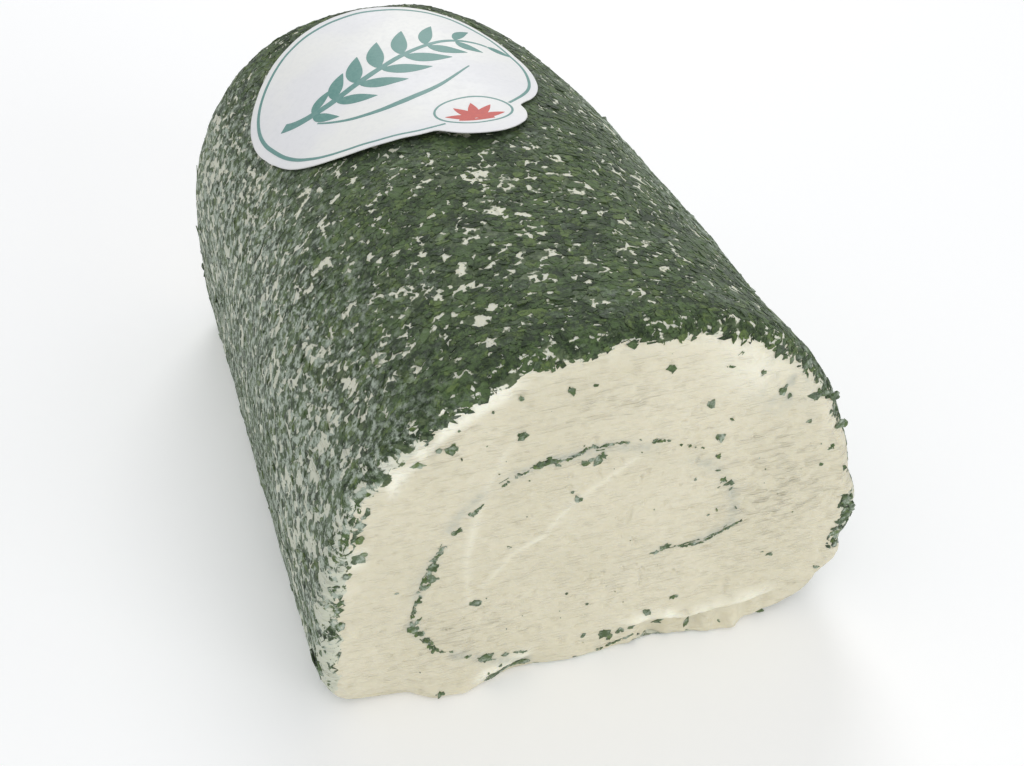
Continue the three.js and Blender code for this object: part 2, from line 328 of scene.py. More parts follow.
NRM = grid_normals(P)
SIDE_ROW = F0 + 20
if (NRM[SIDE_ROW, :, 2] * (P[SIDE_ROW, :, 2] - 30)).sum() < 0:
    NRM = -NRM
# the soft unevenness of the coated side
side = np.array([smooth(1.0, 4.0, y) * smooth(1.0, 5.0, LENGTH - y) if kind == "side" else 0.0 for kind, y, _, _ in rows])
bumpy = 0.28 * fbm(P[..., 0] / 7.0, P[..., 1] / 7.0, P[..., 2] / 7.0, 101, 3)
P += NRM * (bumpy * side[:, None] * smooth(1.0, 6.0, P[..., 2]))[..., None]
P[..., 2] = np.maximum(P[..., 2], 0) + LIFT_BASE * (1 - smooth(0, 3, P[..., 2]))
NRM = grid_normals(P)
if (NRM[SIDE_ROW, :, 2] * (P[SIDE_ROW, :, 2] - 30)).sum() < 0:
    NRM = -NRM

# distance along the rows, zero at the front rim
H0 = max(i for i, row in enumerate(rows) if row[0] == "side")
step = np.linalg.norm(np.diff(P, axis=0), axis=2)
step = np.median(step[:, (P[F0, :, 2] > 20)], axis=1)
V = np.concatenate([[0], np.cumsum(step)])
V -= V[F0]
V_HEEL = V[H0]


def on_skin(s, v):
    """Point and normal of the skin at s millimetres round and v along."""
    fs = (np.asarray(s) / PERIM * N) % N
    fv = np.clip(np.interp(v, V, np.arange(len(V))), 0, len(V) - 1.001)
    i0 = np.floor(fs).astype(int) % N
    i1 = (i0 + 1) % N
    j0 = np.floor(fv).astype(int)
    j1 = j0 + 1
    a = (fs - np.floor(fs))[..., None]
    b = (fv - j0)[..., None]

    def pick(g):
        return (g[j0, i0] * (1 - a) + g[j0, i1] * a) * (1 - b) + (g[j1, i0] * (1 - a) + g[j1, i1] * a) * b
    n = pick(NRM)
    return pick(P), n / np.linalg.norm(n, axis=-1, keepdims=True)


# ---------------------------------------------------------------- mesh helpers
def make_mesh(name, verts, tris=None, quads=None, attributes=None, smooth_shade=False):
    me = bpy.data.meshes.new(name)
    verts = np.ascontiguousarray(verts, np.float32)
    me.vertices.add(len(verts))
    me.vertices.foreach_set("co", verts.ravel())
    loops, starts, at = [], [], 0
    for faces in (tris, quads):
        if faces is None or len(faces) == 0:
            continue
        faces = np.asarray(faces, np.int32)
        k = faces.shape[1]
        loops.append(faces.ravel())
        starts.append(at + np.arange(len(faces), dtype=np.int32) * k)
        at += faces.size
    loops = np.concatenate(loops)
    starts = np.concatenate(starts)
    me.loops.add(len(loops))
    me.loops.foreach_set("vertex_index", loops)
    me.polygons.add(len(starts))
    me.polygons.foreach_set("loop_start", starts)
    me.update(calc_edges=True)
    me.validate()
    for key, values in (attributes or {}).items():
        att = me.attributes.new(key, "FLOAT", "POINT")
        att.data.foreach_set("value", np.ascontiguousarray(values, np.float32))
    me.polygons.foreach_set("use_smooth", np.full(len(me.polygons), smooth_shade))
    me.update()
    ob = bpy.data.objects.new(name, me)
    bpy.context.scene.collection.objects.link(ob)
    return ob


def finish_piece(ob, mat, slot, *nodes):
    ob.data.materials.append(mat)
    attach(ob, "root")
    if nodes:
        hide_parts(*nodes)
    return ob


# ---------------------------------------------------------------- materials
def node_material(name):
    m = bpy.data.materials.new(name)
    m.use_nodes = True
    nt = m.node_tree
    nt.nodes.clear()
    out = nt.nodes.new("ShaderNodeOutputMaterial")
    bs = nt.nodes.new("ShaderNodeBsdfPrincipled")
    nt.links.new(bs.outputs["BSDF"], out.inputs["Surface"])
    return m, nt, bs


def lin(*rgb):
    out = []
    for c in rgb:
        c /= 255.0
        out.append(c / 12.92 if c <= 0.04045 else ((c + 0.055) / 1.055) ** 2.4)
    return (*out, 1.0)


def coords(nt, scale=(1, 1, 1), rotation=(0, 0, 0)):
    tc = nt.nodes.new("ShaderNodeTexCoord")
    mp = nt.nodes.new("ShaderNodeMapping")
    mp.inputs["Scale"].default_value = scale
    mp.inputs["Rotation"].default_value = rotation
    nt.links.new(tc.outputs["Object"], mp.inputs["Vector"])
    return mp.outputs["Vector"]


def tex_noise(nt, vec, scale, detail=3.0, rough=0.5):
    n = nt.nodes.new("ShaderNodeTexNoise")
    n.inputs["Scale"].default_value = scale
    n.inputs["Detail"].default_value = detail
    n.inputs["Roughness"].default_value = rough
    nt.links.new(vec, n.inputs["Vector"])
    return n.outputs["Fac"]


def tex_wave(nt, vec, distortion, detail=1.5):
    n = nt.nodes.new("ShaderNodeTexWave")
    n.wave_type = "BANDS"
    n.bands_direction = "Z"
    n.wave_profile = "SIN"
    n.inputs["Scale"].default_value = 1.0
    n.inputs["Distortion"].default_value = distortion
    n.inputs["Detail"].default_value = detail
    n.inputs["Detail Scale"].default_value = 1.0
    nt.links.new(vec, n.inputs["Vector"])
    return n.outputs["Fac"]


def attr(nt, name):
    a = nt.nodes.new("ShaderNodeAttribute")
    a.attribute_name = name
    return a.outputs["Fac"]


def span(nt, value, lo, hi, to_lo=0.0, to_hi=1.0):
    r = nt.nodes.new("ShaderNodeMapRange")
    r.interpolation_type = "SMOOTHSTEP"
    r.inputs["From Min"].default_value = lo
    r.inputs["From Max"].default_value = hi
    r.inputs["To Min"].default_value = to_lo
    r.inputs["To Max"].default_value = to_hi
    nt.links.new(value, r.inputs["Value"])
    return r.outputs["Result"]


def math_node(nt, op, a, b):
    m = nt.nodes.new("ShaderNodeMath")
    m.operation = op
    for socket, v in zip(m.inputs, (a, b)):
        if isinstance(v, (int, float)):
            socket.default_value = v
        else:
            nt.links.new(v, socket)
    return m.outputs[0]


def mix_colour(nt, fac, a, b):
    m = nt.nodes.new("ShaderNodeMix")
    m.data_type = "RGBA"
    fac_in = m.inputs[0]
    a_in, b_in = m.inputs[6], m.inputs[7]
    if isinstance(fac, (int, float)):
        fac_in.default_value = fac
    else:
        nt.links.new(fac, fac_in)
    for socket, v in ((a_in, a), (b_in, b)):
        if isinstance(v, tuple):
            socket.default_value = v
        else:
            nt.links.new(v, socket)
    return m.outputs[2]


def add_bump(nt, bs, height, strength, distance, before=None):
    b = nt.nodes.new("ShaderNodeBump")
    b.inputs["Strength"].default_value = strength
    b.inputs["Distance"].default_value = distance
    nt.links.new(height, b.inputs["Height"])
    if before is not None:
        nt.links.new(before, b.inputs["Normal"])
    nt.links.new(b.outputs["Normal"], bs.inputs["Normal"])
    return b.outputs["Normal"]


def cheese_material():
    m, nt, bs = node_material("soft_cheese")
    v = coords(nt)
    broad = tex_noise(nt, v, 45, 3)
    fine = tex_noise(nt, v, 700, 3, 0.6)
    col = mix_colour(nt, span(nt, broad, 0.35, 0.65), lin(218, 212, 188), lin(225, 219, 196))
    col = mix_colour(nt, span(nt, fine, 0.35, 0.75, 0, 0.4), col, lin(207, 199, 173))
    # thick smears are paler, and the beads, the lip, the ridges and the upper rim get a painted highlight
    col = mix_colour(nt, math_node(nt, "MULTIPLY", attr(nt, "pale_and_highlight"), span(nt, fine, 0.25, 0.6, 0.6, 1.0)), col, lin(251, 249, 232))
    # wet green-grey stain beside the herbs
    blotch = tex_noise(nt, v, 420, 4, 0.6)
    stain = math_node(nt, "MULTIPLY", attr(nt, "stain"), span(nt, blotch, 0.32, 0.62, 0.35, 1.0))
    col = mix_colour(nt, stain, col, lin(176, 181, 172))
    # under the coat the cheese is tinged and speckled with fine herb dust, and darkened as painted shade where the coat
    # is barest
    dust = tex_noise(nt, v, 900, 4, 0.65)
    edge = math_node(nt, "ADD", attr(nt, "coat"), span(nt, dust, 0.3, 0.7, -0.3, 0.3))
    coat = span(nt, edge, 0.5, 0.62)
    col = mix_colour(nt, math_node(nt, "MULTIPLY", coat, 0.65), col, lin(224, 226, 209))
    # painted shade: the bare cheese between the herbs is darkened on the barest flank, most of all low on the left
    col = mix_colour(nt, math_node(nt, "MULTIPLY", coat, math_node(nt, "MULTIPLY", attr(nt, "bare_and_shade"), 0.6)), col, lin(198, 204, 186))
    patchy = math_node(nt, "ADD", tex_noise(nt, v, 330, 3, 0.55), math_node(nt, "MULTIPLY", attr(nt, "bare_and_shade"), 0.22))
    tinge = math_node(nt, "MULTIPLY", coat, span(nt, patchy, 0.49, 0.54, 1.0, 0.03))
    col = mix_colour(nt, tinge, col, mix_colour(nt, span(nt, dust, 0.35, 0.65), lin(58, 73, 46), lin(92, 107, 74)))
    specks = math_node(nt, "MULTIPLY", coat, span(nt, dust, 0.60, 0.66))
    col = mix_colour(nt, specks, col, lin(92, 108, 70))
    nt.links.new(col, bs.inputs["Base Color"])
    nt.links.new(span(nt, fine, 0.3, 0.7, 0.48, 0.68), bs.inputs["Roughness"])
    bs.inputs["Specular IOR Level"].default_value = 0.38
    bs.inputs["Subsurface Weight"].default_value = 0.25
    bs.inputs["Subsurface Radius"].default_value = (1.0, 0.85, 0.55)
    bs.inputs["Subsurface Scale"].default_value = 0.0016
    # short low ripples across the cut, about 1.2 mm apart, in patches, over finer ones and drag marks
    rip = attr(nt, "rip")
    wave = tex_wave(nt, coords(nt, (220, 70, 262), (0, 0.05, 0)), 3.2, 1.5)
    short = tex_noise(nt, coords(nt, (270, 90, 480), (0, 0.05, 0)), 1.0, 1, 0.5)
    wave2 = tex_wave(nt, coords(nt, (330, 70, 400), (0, 0.1, 0)), 3.8, 1.5)
    short2 = tex_noise(nt, coords(nt, (320, 90, 600), (0, 0.1, 0)), 1.0, 1, 0.5)
    big = math_node(nt, "MULTIPLY", math_node(nt, "MULTIPLY", wave, span(nt, short, 0.42, 0.62)), rip)
    small = math_node(nt, "MULTIPLY", math_node(nt, "MULTIPLY", wave2, span(nt, short2, 0.45, 0.65, 0.1, 0.6)), math_node(nt, "ADD", rip, 0.35))
    drag = tex_noise(nt, coords(nt, (150, 90, 1000), (0, 0.02, 0)), 1.0, 3, 0.55)
    height = math_node(nt, "ADD", math_node(nt, "MULTIPLY", drag, 0.05), math_node(nt, "ADD", big, small))
    n1 = add_bump(nt, bs, height, 1.0, 0.00048)
    grain = tex_noise(nt, v, 1300, 4, 0.65)
    add_bump(nt, bs, grain, 0.6, 0.00018, n1)
    return m


def herb_material(name, dark, light, pale_and_highlight, rough=0.66, sheen=0.12):
    m, nt, bs = node_material(name)
    v = coords(nt)
    mottle = tex_noise(nt, v, 1500, 5, 0.7)
    patch = tex_noise(nt, v, 480, 3, 0.55)
    broad = tex_noise(nt, v, 150, 3)
    f = math_node(nt, "ADD", attr(nt, "shade"), span(nt, mottle, 0.32, 0.68, -0.7, 0.7))
    f = math_node(nt, "ADD", f, span(nt, patch, 0.34, 0.66, -0.4, 0.4))
    f = math_node(nt, "ADD", f, span(nt, broad, 0.32, 0.68, -0.3, 0.3))
    col = mix_colour(nt, span(nt, f, -0.4, 1.4), dark, light)
    # a pale whitish film on some bits, and painted sheen on the flanks: where the film attribute is high the chips are
    # mixed towards a pale grey-green
    film = tex_noise(nt, v, 620, 4, 0.7)
    col = mix_colour(nt, math_node(nt, "MULTIPLY", attr(nt, "film"), span(nt, film, 0.45, 0.7)), col, pale_and_highlight)
    nt.links.new(col, bs.inputs["Base Color"])
    nt.links.new(span(nt, mottle, 0.3, 0.7, rough - 0.1, rough + 0.12), bs.inputs["Roughness"])
    bs.inputs["Specular IOR Level"].default_value = 0.35
    bs.inputs["Sheen Weight"].default_value = sheen
    bs.inputs["Sheen Roughness"].default_value = 0.45
    bs.inputs["Sheen Tint"].default_value = (0.86, 0.9, 0.88, 1.0)
    wrinkle = tex_noise(nt, v, 1500, 5, 0.7)
    add_bump(nt, bs, wrinkle, 0.9, 0.0003)
    return m


def paper_material():
    m, nt, bs = node_material("label_paper")
    v = coords(nt)
    fibre = tex_noise(nt, v, 900, 4, 0.6)
    broad = tex_noise(nt, v, 60, 2)
    col = mix_colour(nt, span(nt, broad, 0.35, 0.65), lin(243, 243, 240), lin(238, 238, 240))
    col = mix_colour(nt, span(nt, fibre, 0.4, 0.8, 0, 0.3), col, lin(222, 223, 226))
    nt.links.new(col, bs.inputs["Base Color"])
    nt.links.new(span(nt, fibre, 0.3, 0.7, 0.42, 0.56), bs.inputs["Roughness"])
    bs.inputs["Specular IOR Level"].default_value = 0.4
    add_bump(nt, bs, fibre, 0.2, 0.00006)
    return m


def ink_material(name, a, b):
    m, nt, bs = node_material(name)
    v = coords(nt)
    patch = tex_noise(nt, v, 1400, 3, 0.6)
    nt.links.new(mix_colour(nt, span(nt, patch, 0.3, 0.7), a, b), bs.inputs["Base Color"])
    nt.links.new(span(nt, patch, 0.3, 0.7, 0.4, 0.55), bs.inputs["Roughness"])
    return m


mat_cheese = cheese_material()
# pale grey-green of the herbs' film, also used as painted sheen on the flanks
PALE_FILM_AND_SHEEN = lin(176, 187, 172)
mat_herb = {
    "deep": herb_material("herb_deep", lin(30, 45, 23), lin(74, 95, 56), PALE_FILM_AND_SHEEN),
    "mid": herb_material("herb_mid", lin(34, 50, 25), lin(84, 106, 62), PALE_FILM_AND_SHEEN),
    "bright": herb_material("herb_bright", lin(44, 61, 27), lin(98, 118, 64), PALE_FILM_AND_SHEEN),
    # grey chips, also used for painted sheen on the flanks
    "grey_and_sheen": herb_material("herb_grey_and_sheen", lin(44, 58, 38), lin(94, 112, 82), PALE_FILM_AND_SHEEN),
}
mat_paper = paper_material()
mat_ink = ink_material("print_green", lin(98, 146, 141), lin(118, 158, 152))
mat_leaf = ink_material("print_leaf", lin(92, 142, 136), lin(112, 156, 148))
mat_red = ink_material("print_red", lin(196, 74, 66), lin(208, 96, 84))

# ---------------------------------------------------------------- the body
line_tree = LINE[::6]


def line_distance(x, z):
    q = np.stack([x, z], -1).reshape(-1, 2)
    out = np.empty(len(q))
    for i in range(0, len(q), 8000):
        d = q[i:i + 8000, None, :] - line_tree[None]
        out[i:i + 8000] = np.sqrt((d ** 2).sum(-1).min(1))
    return out.reshape(x.shape)


# where the coat ends on the cut, with its ragged lobes: millimetres past the rim
ragged_f = 0.3 + 1.5 * fbm(ARC / 6.5, 0 * ARC, 0, 131, 3) + 1.1 * fbm(ARC / 2.1, 0 * ARC, 0, 137, 2)
ragged_h = 0.4 + 1.3 * fbm(ARC / 6.5, 0 * ARC, 0, 141, 3) + 0.9 * fbm(ARC / 2.1, 0 * ARC, 0, 147, 2)
# the smeared foot of the cut is bare cheese down to the base at the left
foot = smooth(9.0, 3.0, P[F0, :, 2]) * (1 - smooth(-14, -9, P[F0, :, 0]))
ragged_f = ragged_f * (1 - foot) - 5.5 * foot
foot = smooth(6.0, 2.0, P[F0, :, 2]) * smooth(-8, -3, P[F0, :, 0])
ragged_f = ragged_f - 1.5 * foot * smooth(-0.1, 0.3, noise(ARC / 4.0, 0 * ARC, 0, 149))
# at the right the rim is bare below the crown, but for the ear, which is coated to its front
rim_right = smooth(20, 32, P[F0, :, 0]) * smooth(57, 54, P[F0, :, 2])
ragged_f = ragged_f * (1 - rim_right) + rim_right * (-4.0 + 6.0 * smooth(5.4, 4.2, np.abs(P[F0, :, 2] - 26.2)) + 0.8 * noise(ARC / 1.3, 0 * ARC, 0, 151))
ragged_f = ragged_f - 2.2 * smooth(20, 32, P[F0, :, 0]) * smooth(52, 57, P[F0, :, 2]) * smooth(71, 65, P[F0, :, 2])
ragged_h = ragged_h - 1.2 * smooth(6.0, 2.0, P[F0, :, 2])
coat =np.zeros(P.shape[:2])
for r in range(len(rows)):
    coat[r] = smooth(-0.5, 0.5, V[r] + ragged_f) * smooth(-0.5, 0.5, V_HEEL + ragged_h - V[r])
# how bare the coated side is, most at the low left flank; the same mask darkens the bare cheese as painted shade
CROWN = ARC[N // 2]
from_crown = ARC - CROWN                # millimetres from the crown, positive on the left flank
bare_and_shade = (0.95 * smooth(42, 74, from_crown) + 0.30 * smooth(48, 80, -from_crown))[None, :] * np.ones((len(rows), 1))
bare_and_shade = bare_and_shade + 0.45 * smooth(6, 22, -from_crown)[None, :] * smooth(35, 60, V)[:, None]
bare_and_shade = np.minimum(bare_and_shade, 1) * coat
stain = np.zeros(P.shape[:2])
pale_and_highlight = np.zeros(P.shape[:2])
rip = np.full(P.shape[:2], 0.45)
# where the ripples of the cut are strong: x, z, reach across, reach up, how strong
RIPPLED = [(34, 34, 11, 8, 0.75), (30, 46, 9, 6, 0.35), (-26, 16, 9, 6, 0.5), (-31, 60, 7, 4, 0.35), (2, 63, 9, 3.5, 0.5), (5, 21, 11, 7, 0.25), (30, 20, 9, 5, 0.25)]
for r, (kind, y, inset, k) in enumerate(rows):
    x, z = P[r, :, 0], P[r, :, 2]
    if kind != "side":
        dist = line_distance(x, z)
        blot = smooth(-1.0, 0.4, noise(x / 5.0, z / 5.0, 0, 155))
        stain[r] = (0.45 * np.exp(-(dist / 0.9) ** 2) + 0.20 * np.exp(-(dist / 2.0) ** 2)) * blot
    if kind == "front":
        rip[r] = 0.12 + sum(s * np.exp(-((x - px) / wx) ** 2 - ((z - pz) / wz) ** 2) for px, pz, wx, wz, s in RIPPLED)
    if kind == "front" or y < 1.0:
        low, long = beads(x, z)
        # the thick lip at the upper left, and the smear under the crown
        lip = smooth(0.90, 0.95, k) * smooth(-14, -22, x) * smooth(30, 42, z)
        smear = bell(x - 22.0 + 0.5 * (z - 66.0), 4.0) * bell(z - 66.0, 4.6)
        # paler cheese on the smear; painted highlight on the beads, the lip at the upper left, the ridges and along the
        # upper rim
        pale_and_highlight[r] = np.clip(0.9 * low + 1.0 * long * (0.7 + 0.5 * noise(x / 3, z / 3, 0, 157)) + 0.8 * lip * smooth(-0.6, 0.3, noise(x / 4, z / 4, 0, 159)) + 0.6 * smear
                          + 0.35 * ridges(x, z) + 0.18 * smooth(0.88, 0.97, k) * smooth(40, 60, z), 0, 1)
        # wet herbs smeared into the cheese at the upper right
        stain[r] += 0.55 * bell(x - 30.5, 3.6) * bell(z - 59.5, 3.4) * smooth(-0.3, 0.3, noise(x / 1.8, z / 1.8, 0, 161))

R = len(rows)
idx = np.arange(R * N).reshape(R, N)
a = idx[:-1]
b = np.roll(idx, -1, axis=1)[:-1]
c = np.roll(idx, -1, axis=1)[1:]
d = idx[1:]
quads = np.stack([a, d, c, b], -1).reshape(-1, 4)
verts = P.reshape(-1, 3)
mid_f = P[0].mean(0)
mid_h = P[-1].mean(0)
verts = np.vstack([verts, mid_f, mid_h])
nf, nh = R * N, R * N + 1
i = np.arange(N)
j = (i + 1) % N
fan = np.vstack([np.stack([np.full(N, nf), i, j], 1), np.stack([np.full(N, nh), (R - 1) * N + j, (R - 1) * N + i], 1)])
body = make_mesh("cheese_body", to_frame(verts), fan, quads,
                 {key: np.append(values.ravel(), [0, 0]) for key, values in (("coat", coat), ("bare_and_shade", bare_and_shade), ("stain", stain), ("pale_and_highlight", pale_and_highlight), ("rip", rip))}, True)
finish_piece(body, mat_cheese, "cheese", "cheese_roll")

# ---------------------------------------------------------------- label surface
side_rows = [r for r in range(F0 + 5, H0 - 3)]
YS = np.array([P[r, :, 1].mean() for r in side_rows])
GX = np.arange(-52, 30.01, 0.5)
HM = np.zeros((len(YS), len(GX)))
for q, r in enumerate(side_rows):
    up = P[r][P[r, :, 2] > 30]
    order = np.argsort(up[:, 0])
    HM[q] = np.interp(GX, up[order, 0], up[order, 2])


def coat_height(x, y):
    fx = np.clip((np.asarray(x) - GX[0]) / 0.5, 0, len(GX) - 1.001)
    fy = np.clip(np.interp(y, YS, np.arange(len(YS))), 0, len(YS) - 1.001)
    x0, y0 = np.floor(fx).astype(int), np.floor(fy).astype(int)
    ax, ay = fx - x0, fy - y0
    return (HM[y0, x0] * (1 - ax) + HM[y0, x0 + 1] * ax) * (1 - ay) + (HM[y0 + 1, x0] * (1 - ax) + HM[y0 + 1, x0 + 1] * ax) * ay


OVAL = dict(x=-13.9, y=97.8, a=30.3, b=29.3, power=2.06)
TONGUE = dict(x=-3.0, y=73.9, a=10.2, b=10.6, turn=-0.12)


def oval_reach(angle, grow=0.0):
    cx, cy = np.cos(angle), np.sin(angle)
    reach = 1 / (np.abs(cx / (OVAL["a"] + grow)) ** OVAL["power"] + np.abs(cy / (OVAL["b"] + grow)) ** OVAL["power"]) ** (1 / OVAL["power"])
    return reach * (1 - 0.07 * bell((angle - 3.42 + math.pi) % (2 * math.pi) - math.pi, 0.32))


def tongue_frame(x, y):
    co, si = math.cos(TONGUE["turn"]), math.sin(TONGUE["turn"])
    return x * co + y * si, -x * si + y * co


def label_reach(angle):
    reach = oval_reach(angle)
    ox, oy = tongue_frame(OVAL["x"] - TONGUE["x"], OVAL["y"] - TONGUE["y"])
    dx, dy = tongue_frame(np.cos(angle), np.sin(angle))
    ox, oy, dx, dy = ox / TONGUE["a"], oy / TONGUE["b"], dx / TONGUE["a"], dy / TONGUE["b"]
    A = dx * dx + dy * dy
    B = ox * dx + oy * dy
    D = B * B - A * (ox * ox + oy * oy - 1)
    far = (-B + np.sqrt(np.maximum(D, 0))) / A
    return np.where(D > 0, np.maximum(reach, far), reach)


PAPER = 0.22


def label_point(x, y, up=0.0):
    x, y = np.asarray(x, float), np.asarray(y, float)
    e = 1.6
    n = np.stack([coat_height(x - e, y) - coat_height(x + e, y), coat_height(x, y - e) - coat_height(x, y + e), np.full_like(x, 2 * e)], -1)
    n /= np.linalg.norm(n, axis=-1, keepdims=True)
    h = (coat_height(x, y) * 2 + coat_height(x - 1.2, y) + coat_height(x + 1.2, y) + coat_height(x, y - 1.2) + coat_height(x, y + 1.2)) / 6
    free = np.maximum(0, (OVAL["y"] - 14 - y) / 20)
    lift = 0.62 + 1.8 * free * free * bell(x + 12, 19) + 0.12 * noise(x / 11, y / 9, 0, 301)
    lift = lift + up
    return np.stack([x, y, h], -1) + n * lift[..., None]


def closed_sheet(name, rings_xy, centre_xy, low, high, mat, slot, *nodes, smooth_shade=True):
    """A thin closed piece on the label's surface, from rings of places about a centre."""
    k, m = len(rings_xy), len(rings_xy[0])
    xy = np.vstack([centre_xy] + rings_xy)
    lo, hi = label_point(xy[:, 0], xy[:, 1], low), label_point(xy[:, 0], xy[:, 1], high)
    cnt = len(xy)
    tri, quad = [], []
    i = np.arange(m)
    j = (i + 1) % m
    top = np.stack([np.zeros(m, int), 1 + i, 1 + j], 1)
    tri += [top + cnt, top[:, ::-1]]
    for r in range(k - 1):
        a, b = 1 + r * m, 1 + (r + 1) * m
        q = np.stack([a + i, b + i, b + j, a + j], 1)
        quad += [q + cnt, q[:, ::-1]]
    e = 1 + (k - 1) * m
    quad.append(np.stack([e + i, e + j, cnt + e + j, cnt + e + i], 1))
    ob = make_mesh(name, to_frame(np.vstack([lo, hi])), np.vstack(tri), np.vstack(quad), None, smooth_shade)
    if mat is not None:
        finish_piece(ob, mat, slot, *nodes)
    return ob


M_LABEL = 240
ang = np.arange(M_LABEL) / M_LABEL * 2 * math.pi
reach = label_reach(ang)
cut_rough = 1 + 0.0015 * noise(ang * 20, 0 * ang, 0, 305)
label_rings = []
for k in np.concatenate([np.linspace(0.05, 0.92, 16), [0.955, 0.98, 0.993, 1.0]]):
    rr = reach * k * cut_rough
    label_rings.append(np.stack([OVAL["x"] + rr * np.cos(ang), OVAL["y"] + rr * np.sin(ang)], 1))
label = closed_sheet("label_paper", label_rings, np.array([[OVAL["x"], OVAL["y"]]]), 0.0, PAPER, mat_paper, "label_paper", "label")

# ---------------------------------------------------------------- printed motifs, as thin ink on the paper
INK = PAPER + 0.045


class Sheet:
    """Gathers flat printed shapes into one thin closed mesh on the paper."""

    def __init__(self):
        self.v, self.t, self.q, self.n = [], [], [], 0

    def ribbon(self, pts, half, cols=2):
        pts = np.asarray(pts, float)
        half = np.broadcast_to(half, len(pts))
        t = np.gradient(pts, axis=0)
        t /= np.linalg.norm(t, axis=1, keepdims=True)
        nrm = np.stack([-t[:, 1], t[:, 0]], 1)
        m = len(pts)
        xy = np.vstack([pts + nrm * half[:, None] * c for c in np.linspace(1, -1, cols)])
        lo, hi = label_point(xy[:, 0], xy[:, 1], PAPER - 0.05), label_point(xy[:, 0], xy[:, 1], INK)
        self.v += [lo, hi]
        o, u, e = self.n, self.n + cols * m, (cols - 1) * m
        i = np.arange(m - 1)
        for c in range(cols - 1):
            p, q = u + c * m, u + (c + 1) * m
            self.q.append(np.stack([p + i + 1, p + i, q + i, q + i + 1], 1))
            p, q = o + c * m, o + (c + 1) * m
            self.q.append(np.stack([p + i, p + i + 1, q + i + 1, q + i], 1))
            self.q.append(np.array([[p, q, q - o + u, p - o + u], [p + m - 1, p + m - 1 - o + u, q + m - 1 - o + u, q + m - 1]]))
        self.q.append(np.stack([o + i + 1, o + i, u + i, u + i + 1], 1))
        self.q.append(np.stack([o + e + i, o + e + i + 1, u + e + i + 1, u + e + i], 1))
        self.n += 2 * cols * m

    def leaf(self, base, tip, width, bend=0.0, n=16):
        base, tip = np.asarray(base, float), np.asarray(tip, float)
        t = np.linspace(0, 1, n)
        d = tip - base
        side = np.array([-d[1], d[0]]) / np.linalg.norm(d)
        mid = base + d * t[:, None] + side * (bend * np.sin(math.pi * t))[:, None]
        w = width * np.sin(math.pi * t ** 0.8) ** 0.9 + 0.03
        self.ribbon(mid, w / 2, 5)

    def build(self, name, mat):
        ob = make_mesh(name, to_frame(np.vstack(self.v)), None, np.vstack(self.q), None, False)
        return finish_piece(ob, mat, "label_paper")


def bezier(p0, p1, p2, p3, n=60):
    t = np.linspace(0, 1, n)[:, None]
    p0, p1, p2, p3 = (np.asarray(p, float) for p in (p0, p1, p2, p3))
    return (1 - t) ** 3 * p0 + 3 * (1 - t) ** 2 * t * p1 + 3 * (1 - t) * t * t * p2 + t ** 3 * p3


co, si = math.cos(TONGUE["turn"]), math.sin(TONGUE["turn"])


def on_tongue(u, v):
    return np.stack([TONGUE["x"] + u * co - v * si, TONGUE["y"] + u * si + v * co], -1)


bb = np.linspace(0, 2 * math.pi, 121)
green = Sheet()
aa = np.linspace(0, 2 * math.pi, 361)
rr = oval_reach(aa, -1.8)
border = np.stack([OVAL["x"] + rr * np.cos(aa), OVAL["y"] + rr * np.sin(aa)], 1)
tx, ty = tongue_frame(border[:, 0] - TONGUE["x"], border[:, 1] - TONGUE["y"])
inside = (tx / 8.2) ** 2 + ((ty - 1.0) / 7.0) ** 2 < 1
first = int(np.argmax(inside))
border = np.roll(border[:-1], -first, axis=0)
inside = np.roll(inside[:-1], -first)
border = border[~inside]
green.ribbon(border, 0.31)
# a plain sprig across the label
stem = bezier((-37, 96), (-26, 84), (-8, 114), (9, 106), 70)
green.ribbon(stem, np.interp(np.linspace(0, 1, 70), [0, 0.5, 1], [1.0, 0.7, 0.3]))
curl = bezier((-31, 89.4), (-22, 78), (-6, 86), (2, 95), 60)
green.ribbon(curl, np.interp(np.linspace(0, 1, 60), [0, 0.5, 1], [0.15, 0.8, 0.15]))
green.ribbon(on_tongue(7.6 * np.cos(bb), 1.0 + 6.3 * np.sin(bb)), 0.22)
green.build("label_print_line", mat_ink)

leaves = Sheet()
tang = np.gradient(stem, axis=0)
for q, (k, size) in enumerate([(11, 7.0), (19, 9.0), (27, 10.5), (35, 11.0), (43, 10.5), (51, 9.0), (60, 7.0)]):
    t = tang[k] / np.linalg.norm(tang[k])
    for s in (1, -1):
        nrm = np.array([-t[1], t[0]]) * s
        tip = stem[k] + (t * 0.66 + nrm * 0.75) * size
        leaves.leaf(stem[k] + nrm * 0.4, tip, size * 0.33, 0.5 * s)
leaves.leaf(stem[-1], stem[-1] + tang[-1] / np.linalg.norm(tang[-1]) * 5.5, 2.2)
leaves.build("label_print_leaves", mat_leaf)

badge = Sheet()
for q in range(5):
    a0 = math.pi / 2 + (q - 2) * 0.66
    badge.leaf(on_tongue(0.0, -2.8), on_tongue(6.0 * math.cos(a0), -2.8 + 7.2 * math.sin(a0)), 2.1)
badge.ribbon(on_tongue(np.linspace(-3.4, 3.4, 30), -3.6 + 0.04 * np.linspace(-3.4, 3.4, 30) ** 2), 0.42)
badge.build("label_print_badge", mat_red)

# ---------------------------------------------------------------- herbs
counts = {}


